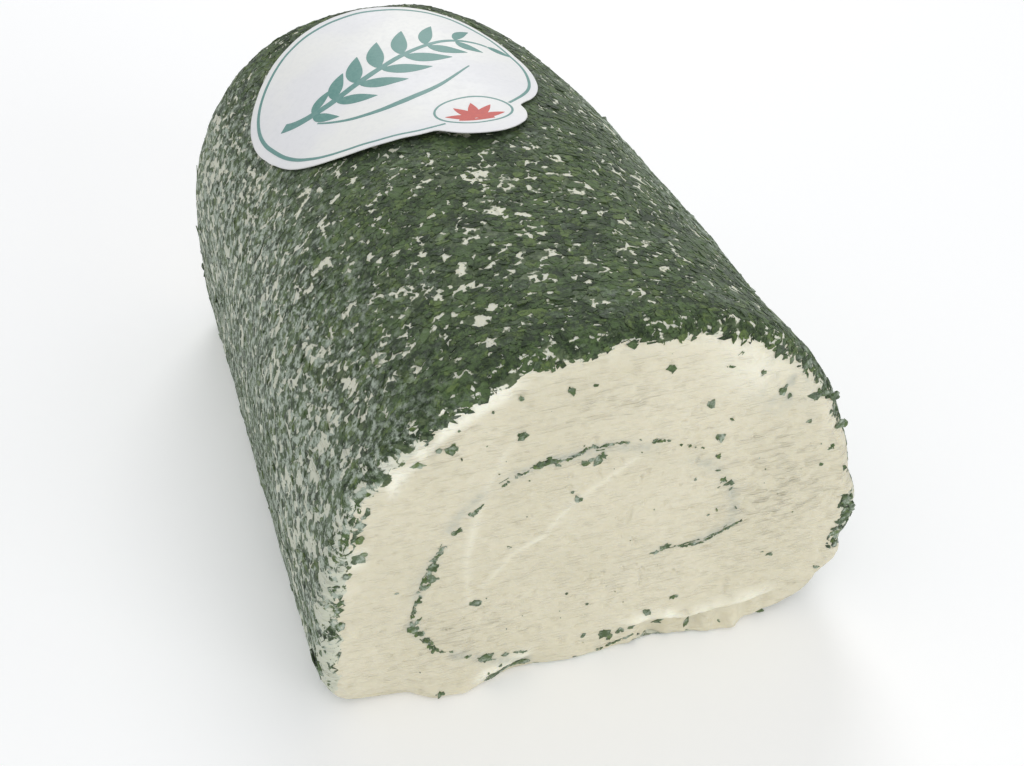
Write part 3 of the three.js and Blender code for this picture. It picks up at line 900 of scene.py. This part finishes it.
class Flakes:
    """Chopped bits, each a thin closed chip that follows the skin under it."""

    def __init__(self):
        self.v, self.t, self.shade, self.film, self.n = [], [], [], [], 0

    def chips(self, place, a_len, aspect, turn, height, thick, shade, film, corners=6, tilt=0.12, local_rng=None):
        """place(du, dv) gives points and normals for offsets (n, k) in millimetres; one row for each chip."""
        r = local_rng or rng
        n = len(a_len)
        if n == 0:
            return
        K = corners
        th = (np.arange(K) + r.uniform(-0.32, 0.32, (n, K))) / K * 2 * math.pi
        rad = r.uniform(0.5, 1.2, (n, K))
        u = np.cos(th) * rad * (a_len / 2)[:, None]
        w = np.sin(th) * rad * (a_len / 2 / aspect)[:, None]
        cu, su = np.cos(turn)[:, None], np.sin(turn)[:, None]
        du, dv = u * cu - w * su, u * su + w * cu
        pts, nrm = place(du, dv)
        gx, gy = (r.normal(0, 1, (n, 1)) * np.broadcast_to(tilt, (n,))[:, None] for _ in range(2))
        cup = r.uniform(-0.03, 0.04, (n, 1))
        top = height[:, None] + gx * u + gy * w + cup * (u * u + w * w) / np.maximum(a_len[:, None], 0.5) + r.uniform(-0.02, 0.02, (n, K))
        top = np.maximum(top, 0.03)
        bot = top - thick[:, None]
        hi = pts + nrm * top[..., None]
        lo = pts + nrm * bot[..., None]
        # nothing goes under the surface that the roll lies on
        hi[..., 2] = np.maximum(hi[..., 2], 0.01)
        lo[..., 2] = np.maximum(lo[..., 2], 0.03)
        base = self.n + np.arange(n)[:, None] * (2 * K)
        tri = []
        for q in range(1, K - 1):
            tri.append(np.stack([base[:, 0], base[:, 0] + q, base[:, 0] + q + 1], 1))
            tri.append(np.stack([base[:, 0] + K, base[:, 0] + K + q + 1, base[:, 0] + K + q], 1))
        for q in range(K):
            p = (q + 1) % K
            tri.append(np.stack([base[:, 0] + q, base[:, 0] + K + q, base[:, 0] + K + p], 1))
            tri.append(np.stack([base[:, 0] + q, base[:, 0] + K + p, base[:, 0] + p], 1))
        self.v.append(np.concatenate([hi, lo], 1).reshape(-1, 3))
        self.t.append(np.concatenate(tri))
        self.shade.append(np.repeat(shade, 2 * K))
        self.film.append(np.repeat(film, 2 * K))
        self.n += n * 2 * K

    def build(self, name, mat):
        ob = make_mesh(name, to_frame(np.vstack(self.v)), np.vstack(self.t), None,
                       {"shade": np.concatenate(self.shade), "film": np.concatenate(self.film)}, False)
        counts[name] = int(sum(len(t) for t in self.t))
        return finish_piece(ob, mat, "herb", *(() if name != "herbs_deep" else ()))


flakes = {k: Flakes() for k in mat_herb}
KINDS = list(mat_herb)

# --- the coat: a jittered field over the side, thinner on the flanks
SPACING = 0.93
nu, nv = int(PERIM / SPACING), int((V_HEEL + 9) / SPACING)
gu, gv = np.meshgrid(np.arange(nu), np.arange(nv))
s = ((gu + rng.uniform(-0.75, 0.75, gu.shape)) * SPACING).ravel()
v = ((gv + rng.uniform(-0.75, 0.75, gv.shape)) * SPACING - 4.5).ravel()
# more of them in a band along the cut, where the coat is dense
s = np.append(s, rng.uniform(0, PERIM, 2600))
v = np.append(v, rng.uniform(-3.0, 7.0, 2600))
away = s - CROWN
pp, nn = on_skin(s, v)
inside = (v > -np.interp(s % PERIM, ARC, ragged_f)) & (v < V_HEEL + np.interp(s % PERIM, ARC, ragged_h))
base_zone = pp[:, 2] < 1.0
left = smooth(40, 74, away)
right = smooth(45, 80, -away)
patch = fbm(pp[:, 0] / 13, pp[:, 1] / 13, pp[:, 2] / 13, 401, 2)
clump = fbm(pp[:, 0] / 3.1, pp[:, 1] / 3.1, pp[:, 2] / 3.1, 411, 2)
low = left * smooth(60, 15, pp[:, 1])                     # the low front of the left flank is the barest
far = left * smooth(55, 90, pp[:, 1])                     # and its far end is barer than its middle
near_top = smooth(34, 22, np.abs(away)) * smooth(24, 8, pp[:, 1])
far_right = smooth(8, 20, -away) * smooth(45, 60, pp[:, 1])
rim_band = smooth(9, 3, v) * smooth(34, 48, pp[:, 2])     # the coat is dense along the cut
low_front = left * smooth(32, 18, pp[:, 1]) * smooth(52, 40, pp[:, 2])
cover = 0.90 - 0.32 * left - 0.12 * low - 0.16 * far - 0.06 * right - 0.34 * far_right + 0.05 * near_top + 0.08 * patch + 0.22 * rim_band
cover = cover + 0.09 * left * bell(pp[:, 1] - 45, 14) - 0.07 * low_front
holes = smooth(0.24 + 0.12 * near_top + 0.12 * rim_band, 0.56, clump) * (0.8 + 0.2 * left)
keep = inside & (rng.uniform(size=len(s)) < cover * (1 - holes))
keep[nu * nv:] &= pp[nu * nv:, 2] > rng.uniform(20, 45, 2600)
keep &= ~(base_zone & (rng.uniform(size=len(s)) < 0.55))
# nothing is hidden under the middle of the label
lx, ly = pp[:, 0] - OVAL["x"], pp[:, 1] - OVAL["y"]
la = np.arctan2(ly, lx)
under = (np.hypot(lx, ly) < label_reach(la) - 4.0) & (pp[:, 2] > 55)
near_label = (np.hypot(lx, ly) < label_reach(la) + 1.5) & (pp[:, 2] > 55)
keep &= ~under
s, v, pp, left, right, patch, near_label, base_zone, away = (q[keep] for q in (s, v, pp, left, right, patch, near_label, base_zone, away))
n = len(s)
size = np.exp(rng.normal(math.log(1.95), 0.34, n)) * (1 + 0.25 * left)
aspect = np.clip(rng.normal(1.55, 0.35, n), 1.0, 3.0)
needle = rng.uniform(size=n) < 0.07
size = np.where(needle, size * 1.6, size)
aspect = np.where(needle, 3.8, aspect)
turn = rng.uniform(0, math.pi, n)
height = 0.03 + (0.15 - 0.08 * left) * rng.uniform(size=n)
# a few bits stand up from the coat
stray = (rng.uniform(size=n) < 0.03) & ~near_label & ~base_zone & (v > 3)
height = np.where(stray, rng.uniform(0.1, 0.28, n), height)
size = np.where(v < 3.5, size * 0.8, size)                # the bits broken by the knife are smaller
height = np.where(near_label, np.minimum(height, 0.3), height)
height = np.where(base_zone, 0.06, height)
thick = np.where(base_zone, 0.2, rng.uniform(0.22, 0.3, n))
lean_by = np.where(stray, 0.15, 0.03)
shade = np.clip(rng.normal(0.5, 0.17, n), 0, 1)
# painted sheen: on the flanks, most of all high on the right, the chips get a paler film, a lighter shade and more of
# the grey kind, standing in for the sheen where light grazes them
right_flank_sheen = smooth(6, 36, -away) * (0.5 + 0.5 * smooth(20, 60, pp[:, 1]))
film = np.clip(0.05 + 1.9 * left + 3.0 * right_flank_sheen + 0.3 * smooth(0.25, 0.6, noise(pp[:, 0] / 9, pp[:, 1] / 9, pp[:, 2] / 9, 421)), 0, 3)
shade = shade + 0.6 * right_flank_sheen + 0.12 * left
olive = 0.15 + 0.22 * smooth(0.0, 0.6, fbm(pp[:, 0] / 10, pp[:, 1] / 10, pp[:, 2] / 10, 431, 2))
# more grey chips on the flanks, partly as painted sheen
grey_and_sheen = 0.04 + 0.26 * left + 0.14 * right + 0.40 * right_flank_sheen
deep = np.maximum(0.05, 0.38 - 0.16 * left - 0.3 * patch * 0.4)
roll = rng.uniform(size=n)
kind = np.where(roll < olive, 2, np.where(roll < olive + grey_and_sheen, 3, np.where(roll < olive + grey_and_sheen + deep, 0, 1)))
for q, name in enumerate(KINDS):
    m = kind == q
    for corners in (5, 6):
        pickm = m & ((np.arange(n) % 2 == 0) if corners == 5 else (np.arange(n) % 2 == 1))
        ss, vv = s[pickm], v[pickm]
        flakes[name].chips(lambda du, dv, ss=ss, vv=vv: on_skin(ss[:, None] + du, vv[:, None] + dv), size[pickm], aspect[pickm], turn[pickm],
                           height[pickm], thick[pickm], shade[pickm], film[pickm], corners, lean_by[pickm])


# --- bits on the cut faces
def on_face(x0, z0, front=True):
    def place(du, dv):
        x, z = x0[:, None] + du, np.maximum(z0[:, None] + dv, 0.6)
        nrm = np.zeros(x.shape + (3,))
        if front:
            y = -(face_relief(x, z) + front_extra(x, z))
            nrm[..., 1] = -1
        else:
            y = LENGTH + face_relief(x, z, 211) * 0.9
            nrm[..., 1] = 1
        return np.stack([x, y, z], -1), nrm
    return place


# loose bits on the cut: x, z, length, length over width
SPECKS = [(-8.7, 67.3, 2.0, 1.2), (-4.9, 67.7, 0.9, 1.2), (-17.0, 67.7, 1.0, 1.3), (-16.7, 60.1, 2.6, 1.6), (-28.3, 60.0, 2.6, 1.2), (-30.2, 60.2, 1.3, 1.1),
          (-33.6, 58.0, 3.0, 1.7), (-26.5, 57.6, 1.0, 2.2), (-3.1, 51.8, 3.2, 1.2), (-5.5, 51.5, 1.8, 1.2), (-6.2, 43.6, 2.3, 1.6), (-7.2, 45.4, 0.9, 1.2),
          (-23.9, 23.7, 2.6, 1.5), (-18.0, 35.5, 1.1, 1.3), (-6.6, 20.4, 0.6, 1.2), (-2.4, 16.1, 0.8, 1.2), (-2.5, 7.5, 1.4, 1.2), (1.7, 6.3, 3.2, 1.1),
          (3.0, 5.2, 2.6, 1.4), (4.9, 6.1, 2.4, 1.2), (7.5, 6.6, 1.9, 1.3), (10.2, 10.2, 2.0, 1.4), (15.4, 12.8, 2.0, 2.0), (13.5, 4.5, 2.4, 1.8),
          (21.2, 6.7, 1.8, 1.8), (19.7, 3.0, 2.4, 1.3), (28.3, 2.9, 2.6, 2.4), (26.6, 2.0, 1.6, 2.0), (8.2, 68.2, 2.2, 1.6), (9.6, 71.2, 0.8, 1.2),
          (19.8, 69.3, 1.2, 1.6), (18.6, 66.8, 1.3, 1.8), (24.4, 64.6, 1.6, 2.6), (16.4, 59.4, 2.7, 1.5), (20.8, 54.8, 1.4, 3.2), (19.3, 51.1, 2.3, 1.3),
          (19.4, 47.0, 1.6, 1.4), (19.9, 43.6, 1.2, 2.4), (21.2, 41.2, 1.7, 1.8), (22.2, 40.2, 2.0, 2.0), (20.6, 39.7, 0.9, 1.4), (22.9, 38.9, 1.0, 1.6),
          (15.7, 42.6, 0.6, 1.2), (24.6, 34.0, 1.2, 3.0), (20.8, 34.3, 1.0, 2.4), (19.2, 33.5, 0.7, 1.4), (36.2, 51.1, 1.7, 1.8), (41.9, 44.0, 1.9, 2.0),
          (40.7, 40.2, 1.3, 1.4), (42.9, 49.1, 3.0, 1.3), (45.7, 37.8, 2.0, 1.7), (45.2, 36.4, 1.3, 2.0), (29.5, 59.4, 2.4, 1.2), (30.9, 58.0, 1.6, 1.4),
          (33.8, 58.2, 2.6, 1.2), (35.9, 57.0, 3.4, 1.2), (38.0, 56.8, 2.2, 1.3), (40.2, 55.6, 2.6, 1.4), (34.3, 18.9, 1.6, 1.9), (32.6, 20.0, 0.6, 1.2),
          (15.4, 13.0, 0.8, 1.4), (-30.6, 1.6, 1.8, 1.8), (-43.3, 44.1, 1.8, 1.3), (-43.6, 40.1, 3.4, 1.3), (-46.0, 36.5, 2.2, 1.4), (-37.6, 30.1, 0.8, 1.6),
          (-33.9, 29.0, 0.7, 1.2), (45.6, 12.0, 1.8, 2.2), (47.6, 16.4, 1.0, 1.4), (35.8, 1.6, 2.0, 2.2), (-18.8, 5.3, 1.0, 1.4), (-21.2, 4.2, 0.8, 1.3),
          (-31.4, 31.8, 2.8, 1.2), (-10.1, 52.2, 1.3, 1.3), (-27.0, 63.5, 0.7, 1.2), (-21.6, 66.0, 0.6, 1.3)]
# the rolled-in layer where it shows on the cut: its course, width, and how thickly the bits lie
STROKES = [([(-14.2, 52.6), (-12.6, 53.4), (-10.9, 53.6)], 1.3, 1.3), ([(-10.6, 53.2), (-8.2, 53.0), (-5.4, 54.4), (-1.4, 54.6), (2.0, 54.2)], 0.5, 1.2),
           ([(-19.6, 50.1), (-18.5, 50.7)], 0.35, 1.0), ([(-17.4, 51.3), (-15.0, 52.3)], 0.4, 0.5), ([(-23.0, 47.0), (-24.8, 44.8)], 0.8, 1.1),
           ([(-26.1, 43.1), (-28.2, 41.0)], 0.9, 1.1), ([(-29.3, 38.9), (-30.9, 35.8)], 0.8, 1.1), ([(-31.3, 35.0), (-32.3, 31.4), (-33.2, 29.8)], 1.1, 1.2),
           ([(-33.5, 27.9), (-34.5, 26.4)], 0.8, 0.9), ([(-34.6, 26.0), (-35.1, 23.4)], 0.55, 1.1), ([(-35.6, 22.6), (-35.2, 20.4), (-33.6, 18.6)], 1.2, 1.1),
           ([(-35.0, 21.0), (-33.5, 23.0)], 0.4, 1.0), ([(-33.1, 17.1), (-30.6, 13.1)], 1.3, 0.9), ([(-30.0, 12.9), (-27.6, 12.0)], 0.5, 0.4),
           ([(-25.6, 10.0), (-24.4, 9.6)], 0.8, 0.7), ([(-22.4, 8.4), (-20.2, 7.4)], 1.7, 1.1), ([(-18.4, 7.6), (-17.2, 7.6)], 0.9, 1.0),
           ([(-16.2, 7.4), (-13.6, 7.0)], 0.3, 0.8), ([(-20.9, 1.8), (-17.3, 2.6), (-15.6, 2.9), (-12.8, 2.8)], 1.5, 3.2),
           ([(49.0, 30.0), (49.6, 27.0), (48.4, 23.0)], 2.0, 2.2),
           ([(4.0, 54.0), (10.2, 52.6)], 0.7, 0.35), ([(11.5, 51.4), (16.4, 49.6)], 0.7, 0.25), ([(26.4, 30.5), (23.4, 28.9), (19.6, 26.8)], 0.45, 1.2),
           ([(19.2, 26.6), (16.2, 26.4), (13.6, 27.2)], 0.6, 0.9), ([(13.4, 27.6), (11.0, 27.0)], 1.5, 1.3), ([(10.4, 26.6), (8.9, 26.0)], 0.7, 1.0),
           ([(1.0, 1.4), (4.2, 2.4), (8.2, 3.6)], 0.6, 1.0)]


def face_bits(front, spots, r):
    """spots: x, z, length, length over width, turn; a turn over 9 is left to chance."""
    spots = np.array([tuple(p) + (1.4, 10.0)[len(p) - 3:] for p in spots], float)
    # a large bit is a main chip with smaller ones stuck to it
    more = []
    for x, z, long_by, aspect, turned in spots[spots[:, 2] > 1.5]:
        for q in range(3):
            a0, far_by = r.uniform(0, 2 * math.pi), r.uniform(0.22, 0.42) * long_by
            more.append((x + math.cos(a0) * far_by, z + math.sin(a0) * far_by / aspect, long_by * r.uniform(0.35, 0.6), r.uniform(1.1, 1.9), 10.0))
    spots = np.vstack([spots] + ([np.array(more)] if more else []))
    spots[spots[:, 2] > 1.5, 2] *= 0.9
    n = len(spots)
    groups = r.choice(4, n, p=[0.15, 0.35, 0.15, 0.35])
    turn = np.where(spots[:, 4] > 9, r.uniform(0, math.pi, n), spots[:, 4])
    for g in range(4):
        m = groups == g
        c = m.sum()
        flakes[KINDS[g]].chips(on_face(spots[m, 0], spots[m, 1], front), spots[m, 2], spots[m, 3] * r.uniform(0.85, 1.15, c), turn[m],
                               0.03 + 0.04 * spots[m, 2] + r.uniform(0, 0.04, c), np.full(c, 0.4), r.uniform(0.7, 1.7, c), r.uniform(0.7, 1.3, c), 7, 0.02, r)


def stroke_bits(path, width, density, r):
    """Small bits dragged along a course on the cut."""
    path = np.array(path, float)
    d = np.concatenate([[0], np.cumsum(np.hypot(*np.diff(path, axis=0).T))])
    count = max(2, int(d[-1] / width * 3.2 * density + 1))
    at = r.uniform(0, d[-1], count)
    x, z = np.interp(at, d, path[:, 0]), np.interp(at, d, path[:, 1])
    seg = np.clip(np.searchsorted(d, at) - 1, 0, len(path) - 2)
    run = path[seg + 1] - path[seg]
    along = np.arctan2(run[:, 1], run[:, 0])
    off = r.normal(0, 0.24 * width, count)
    size = np.clip(width * np.exp(r.normal(-0.15, 0.35, count)), 0.25, 2.4)
    return list(zip(x - np.sin(along) * off, z + np.cos(along) * off, size + 0.2, r.uniform(1.2, 2.4, count), along + r.normal(0, 0.45, count)))


def stroke_dots(r):
    out = []
    for path, width, density in STROKES:
        out += stroke_bits(path, width, density, r)
    return out


r2 = np.random.default_rng(77)
face_bits(True, SPECKS, r2)
face_bits(True, stroke_dots(r2), r2)


def scatter_on(rim_ring, count, r, low=0.3, high=1.1):
    out = []
    mid = rim_ring.mean(0)
    while len(out) < count:
        i = r.integers(0, N)
        k = math.sqrt(r.uniform(0, 0.92))
        p = mid + (rim_ring[i] - mid) * k
        out.append((p[0], p[1], r.uniform(low, high)))
    return out


rim_f, rim_h = ring(0.0, 2.3), ring(LENGTH, 6.6)
face_bits(True, scatter_on(rim_f, 34, r2, 0.2, 0.45), r2)
face_bits(False, scatter_on(rim_h, 60, r2, 0.25, 0.8) + scatter_on(rim_h, 42, r2, 0.9, 2.8), r2)


# --- bits along the rolled-in layer, broken as on the cut
def line_bits(r, phase):
    d = np.concatenate([[0], np.cumsum(np.hypot(*np.diff(LINE, axis=0).T))])
    total = d[-1]
    out = []
    t = 0.0
    while t < total:
        dens = 0.5 + 0.5 * noise(np.array([t / 7.0 + phase]), np.array([0.0]), 0, 501)[0]
        t += 0.25 + 0.9 * (1 - dens)
        x, z = np.interp(t, d, LINE[:, 0]), np.interp(t, d, LINE[:, 1])
        if r.uniform() < 0.35 + 0.65 * dens:
            out.append((x + r.normal(0, 0.28), z + r.normal(0, 0.28), float(np.clip(np.exp(r.normal(math.log(0.8), 0.4)), 0.35, 2.2)) * (0.7 + 0.5 * dens)))
    return out


face_bits(False, line_bits(r2, 40.0), r2)

for name in KINDS:
    flakes[name].build("herbs_" + name, mat_herb[name])

# ---------------------------------------------------------------- the rolled-in layer itself, a thin sheet through the roll
M = 420
mid = resample(LINE, M)
t = np.gradient(mid, axis=0)
t /= np.linalg.norm(t, axis=1, keepdims=True)
nrm = np.stack([-t[:, 1], t[:, 0]], 1)
arc = np.arange(M) * 0.35


def thick_at(phase, seed):
    w = 0.06 + 0.36 * np.maximum(0, fbm(arc / 1.1 + phase, 0 * arc, 0, seed, 3) + 0.05)
    return w


def show_at(seed, front):
    """1 where the edge of the layer lies open, 0 where the knife smeared cheese over it."""
    s = smooth(-0.12, 0.10, fbm(arc / 3.0, 0 * arc, 0, seed, 3))
    if front:
        near = np.full(M, 9.0)
        for path, width, density in STROKES:
            if density > 0.7:
                for p, q in zip(path[:-1], path[1:]):
                    p, q = np.array(p), np.array(q)
                    k = np.clip(((mid - p) @ (q - p)) / ((q - p) @ (q - p)), 0, 1)
                    near = np.minimum(near, np.linalg.norm(mid - p - k[:, None] * (q - p), axis=1))
        s = smooth(1.4, 0.8, near) * smooth(-0.3, -0.1, fbm(arc / 1.5, 0 * arc, 0, seed, 2))
    return s


stations = []
for where in ("front", "in1", "in2", "heel"):
    w = thick_at(0 if where in ("front", "in1") else 9, 601 if where in ("front", "in1") else 611)
    l, r_ = mid + nrm * w[:, None], mid - nrm * w[:, None]
    for q in (l, r_):
        if where == "front":
            y = -(face_relief(q[:, 0], q[:, 1]) + front_extra(q[:, 0], q[:, 1])) + np.interp(show_at(621, True), [0, 1], [0.7, -0.06])
        elif where == "heel":
            y = LENGTH + face_relief(q[:, 0], q[:, 1], 211) * 0.9 + np.interp(show_at(631, False), [0, 1], [-0.7, 0.06])
        else:
            y = np.full(M, 3.0 if where == "in1" else LENGTH - 3.0)
        stations.append(np.stack([q[:, 0], y, q[:, 1]], 1))
sv = np.vstack(stations)
i = np.arange(M - 1)


def strip(a, b):
    return np.stack([a * M + i, a * M + i + 1, b * M + i + 1, b * M + i], 1)


sq = [strip(0, 1), strip(7, 6)]
for k in range(3):
    sq.append(strip(2 * k + 2, 2 * k))
    sq.append(strip(2 * k + 1, 2 * k + 3))
for k in range(3):
    e0, e1 = 0, M - 1
    sq.append(np.array([[2 * k * M + e0, (2 * k + 1) * M + e0, (2 * k + 3) * M + e0, (2 * k + 2) * M + e0]]))
    sq.append(np.array([[(2 * k + 1) * M + e1, 2 * k * M + e1, (2 * k + 2) * M + e1, (2 * k + 3) * M + e1]]))
ones = np.ones(len(sv))
swirl = make_mesh("herb_swirl_layer", to_frame(sv), None, np.vstack(sq),
                  {"shade": 0.7 + 0.5 * np.tile(0.5 + 0.5 * noise(arc / 2.0, 0 * arc, 0, 641), 8), "film": 0.9 * ones}, False)
finish_piece(swirl, mat_herb["mid"], "herb", "herb_swirl")

# ---------------------------------------------------------------- floor, light, camera
floor_mesh = bpy.data.meshes.new("floor")
F = 3.0
floor_mesh.from_pydata([(-F, -F, 0), (F, -F, 0), (F, F, 0), (-F, F, 0)], [], [(0, 1, 2, 3)])
floor = bpy.data.objects.new("floor", floor_mesh)
bpy.context.scene.collection.objects.link(floor)
mf, nt, bs = node_material("floor_pale")
bs.inputs["Base Color"].default_value = (0.95, 0.95, 0.952, 1)
bs.inputs["Roughness"].default_value = 0.7
bs.inputs["Specular IOR Level"].default_value = 0.2
bs.inputs["Emission Color"].default_value = (1.0, 1.0, 1.0, 1)
bs.inputs["Emission Strength"].default_value = 0.10
floor_mesh.materials.append(mf)
floor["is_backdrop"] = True

scene = bpy.context.scene
world = bpy.data.worlds.new("studio")
scene.world = world
world.use_nodes = True
world.node_tree.nodes["Background"].inputs["Color"].default_value = (0.97, 0.985, 1.0, 1)
world.node_tree.nodes["Background"].inputs["Strength"].default_value = 0.60


def area(name, loc, target, size, energy, colour=(1, 1, 1)):
    data = bpy.data.lights.new(name, "AREA")
    data.shape = "DISK"
    data.size = size
    data.energy = energy
    data.color = colour
    ob = bpy.data.objects.new(name, data)
    scene.collection.objects.link(ob)
    ob.location = loc
    d = Vector(target) - Vector(loc)
    ob.rotation_euler = d.to_track_quat("-Z", "Y").to_euler()
    return ob


area("key", (-0.18, -0.48, 0.78), (0, 0, 0.03), 0.5, 1.25)
area("back", (0.22, 0.75, 0.80), (0, 0.0, 0.04), 0.5, 3.2)
area("front", (0.5, -0.85, 0.35), (0, -0.05, 0.03), 0.6, 2.1)

F_PX, PITCH, YAW, ROLL = 1191.0, math.radians(38.1), math.radians(19.4), math.radians(2.47)
EYE = np.array([-65.676, -133.180, 181.849])
fwd = np.array([math.sin(YAW) * math.cos(PITCH), math.cos(YAW) * math.cos(PITCH), -math.sin(PITCH)])
right_ = np.array([math.cos(YAW), -math.sin(YAW), 0])
up_ = np.cross(right_, fwd)
r_axis = math.cos(ROLL) * right_ + math.sin(ROLL) * up_
u_axis = -math.sin(ROLL) * right_ + math.cos(ROLL) * up_
cam = bpy.data.cameras.new("camera")
cam.sensor_fit = "HORIZONTAL"
cam.sensor_width = 36.0
cam.lens = F_PX * 36.0 / 1024.0
cam.clip_start = 0.01
cam.clip_end = 20.0
cam_ob = bpy.data.objects.new("camera", cam)
scene.collection.objects.link(cam_ob)
loc = to_frame(EYE)
m4 = Matrix.Identity(4)
for row in range(3):
    m4[row][0], m4[row][1], m4[row][2], m4[row][3] = r_axis[row], u_axis[row], -fwd[row], loc[row]
cam_ob.matrix_world = m4
scene.camera = cam_ob
scene.view_settings.view_transform = "Standard"

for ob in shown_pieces():
    me = ob.data
    me.calc_loop_triangles()
    print("piece", ob.name, len(me.loop_triangles))
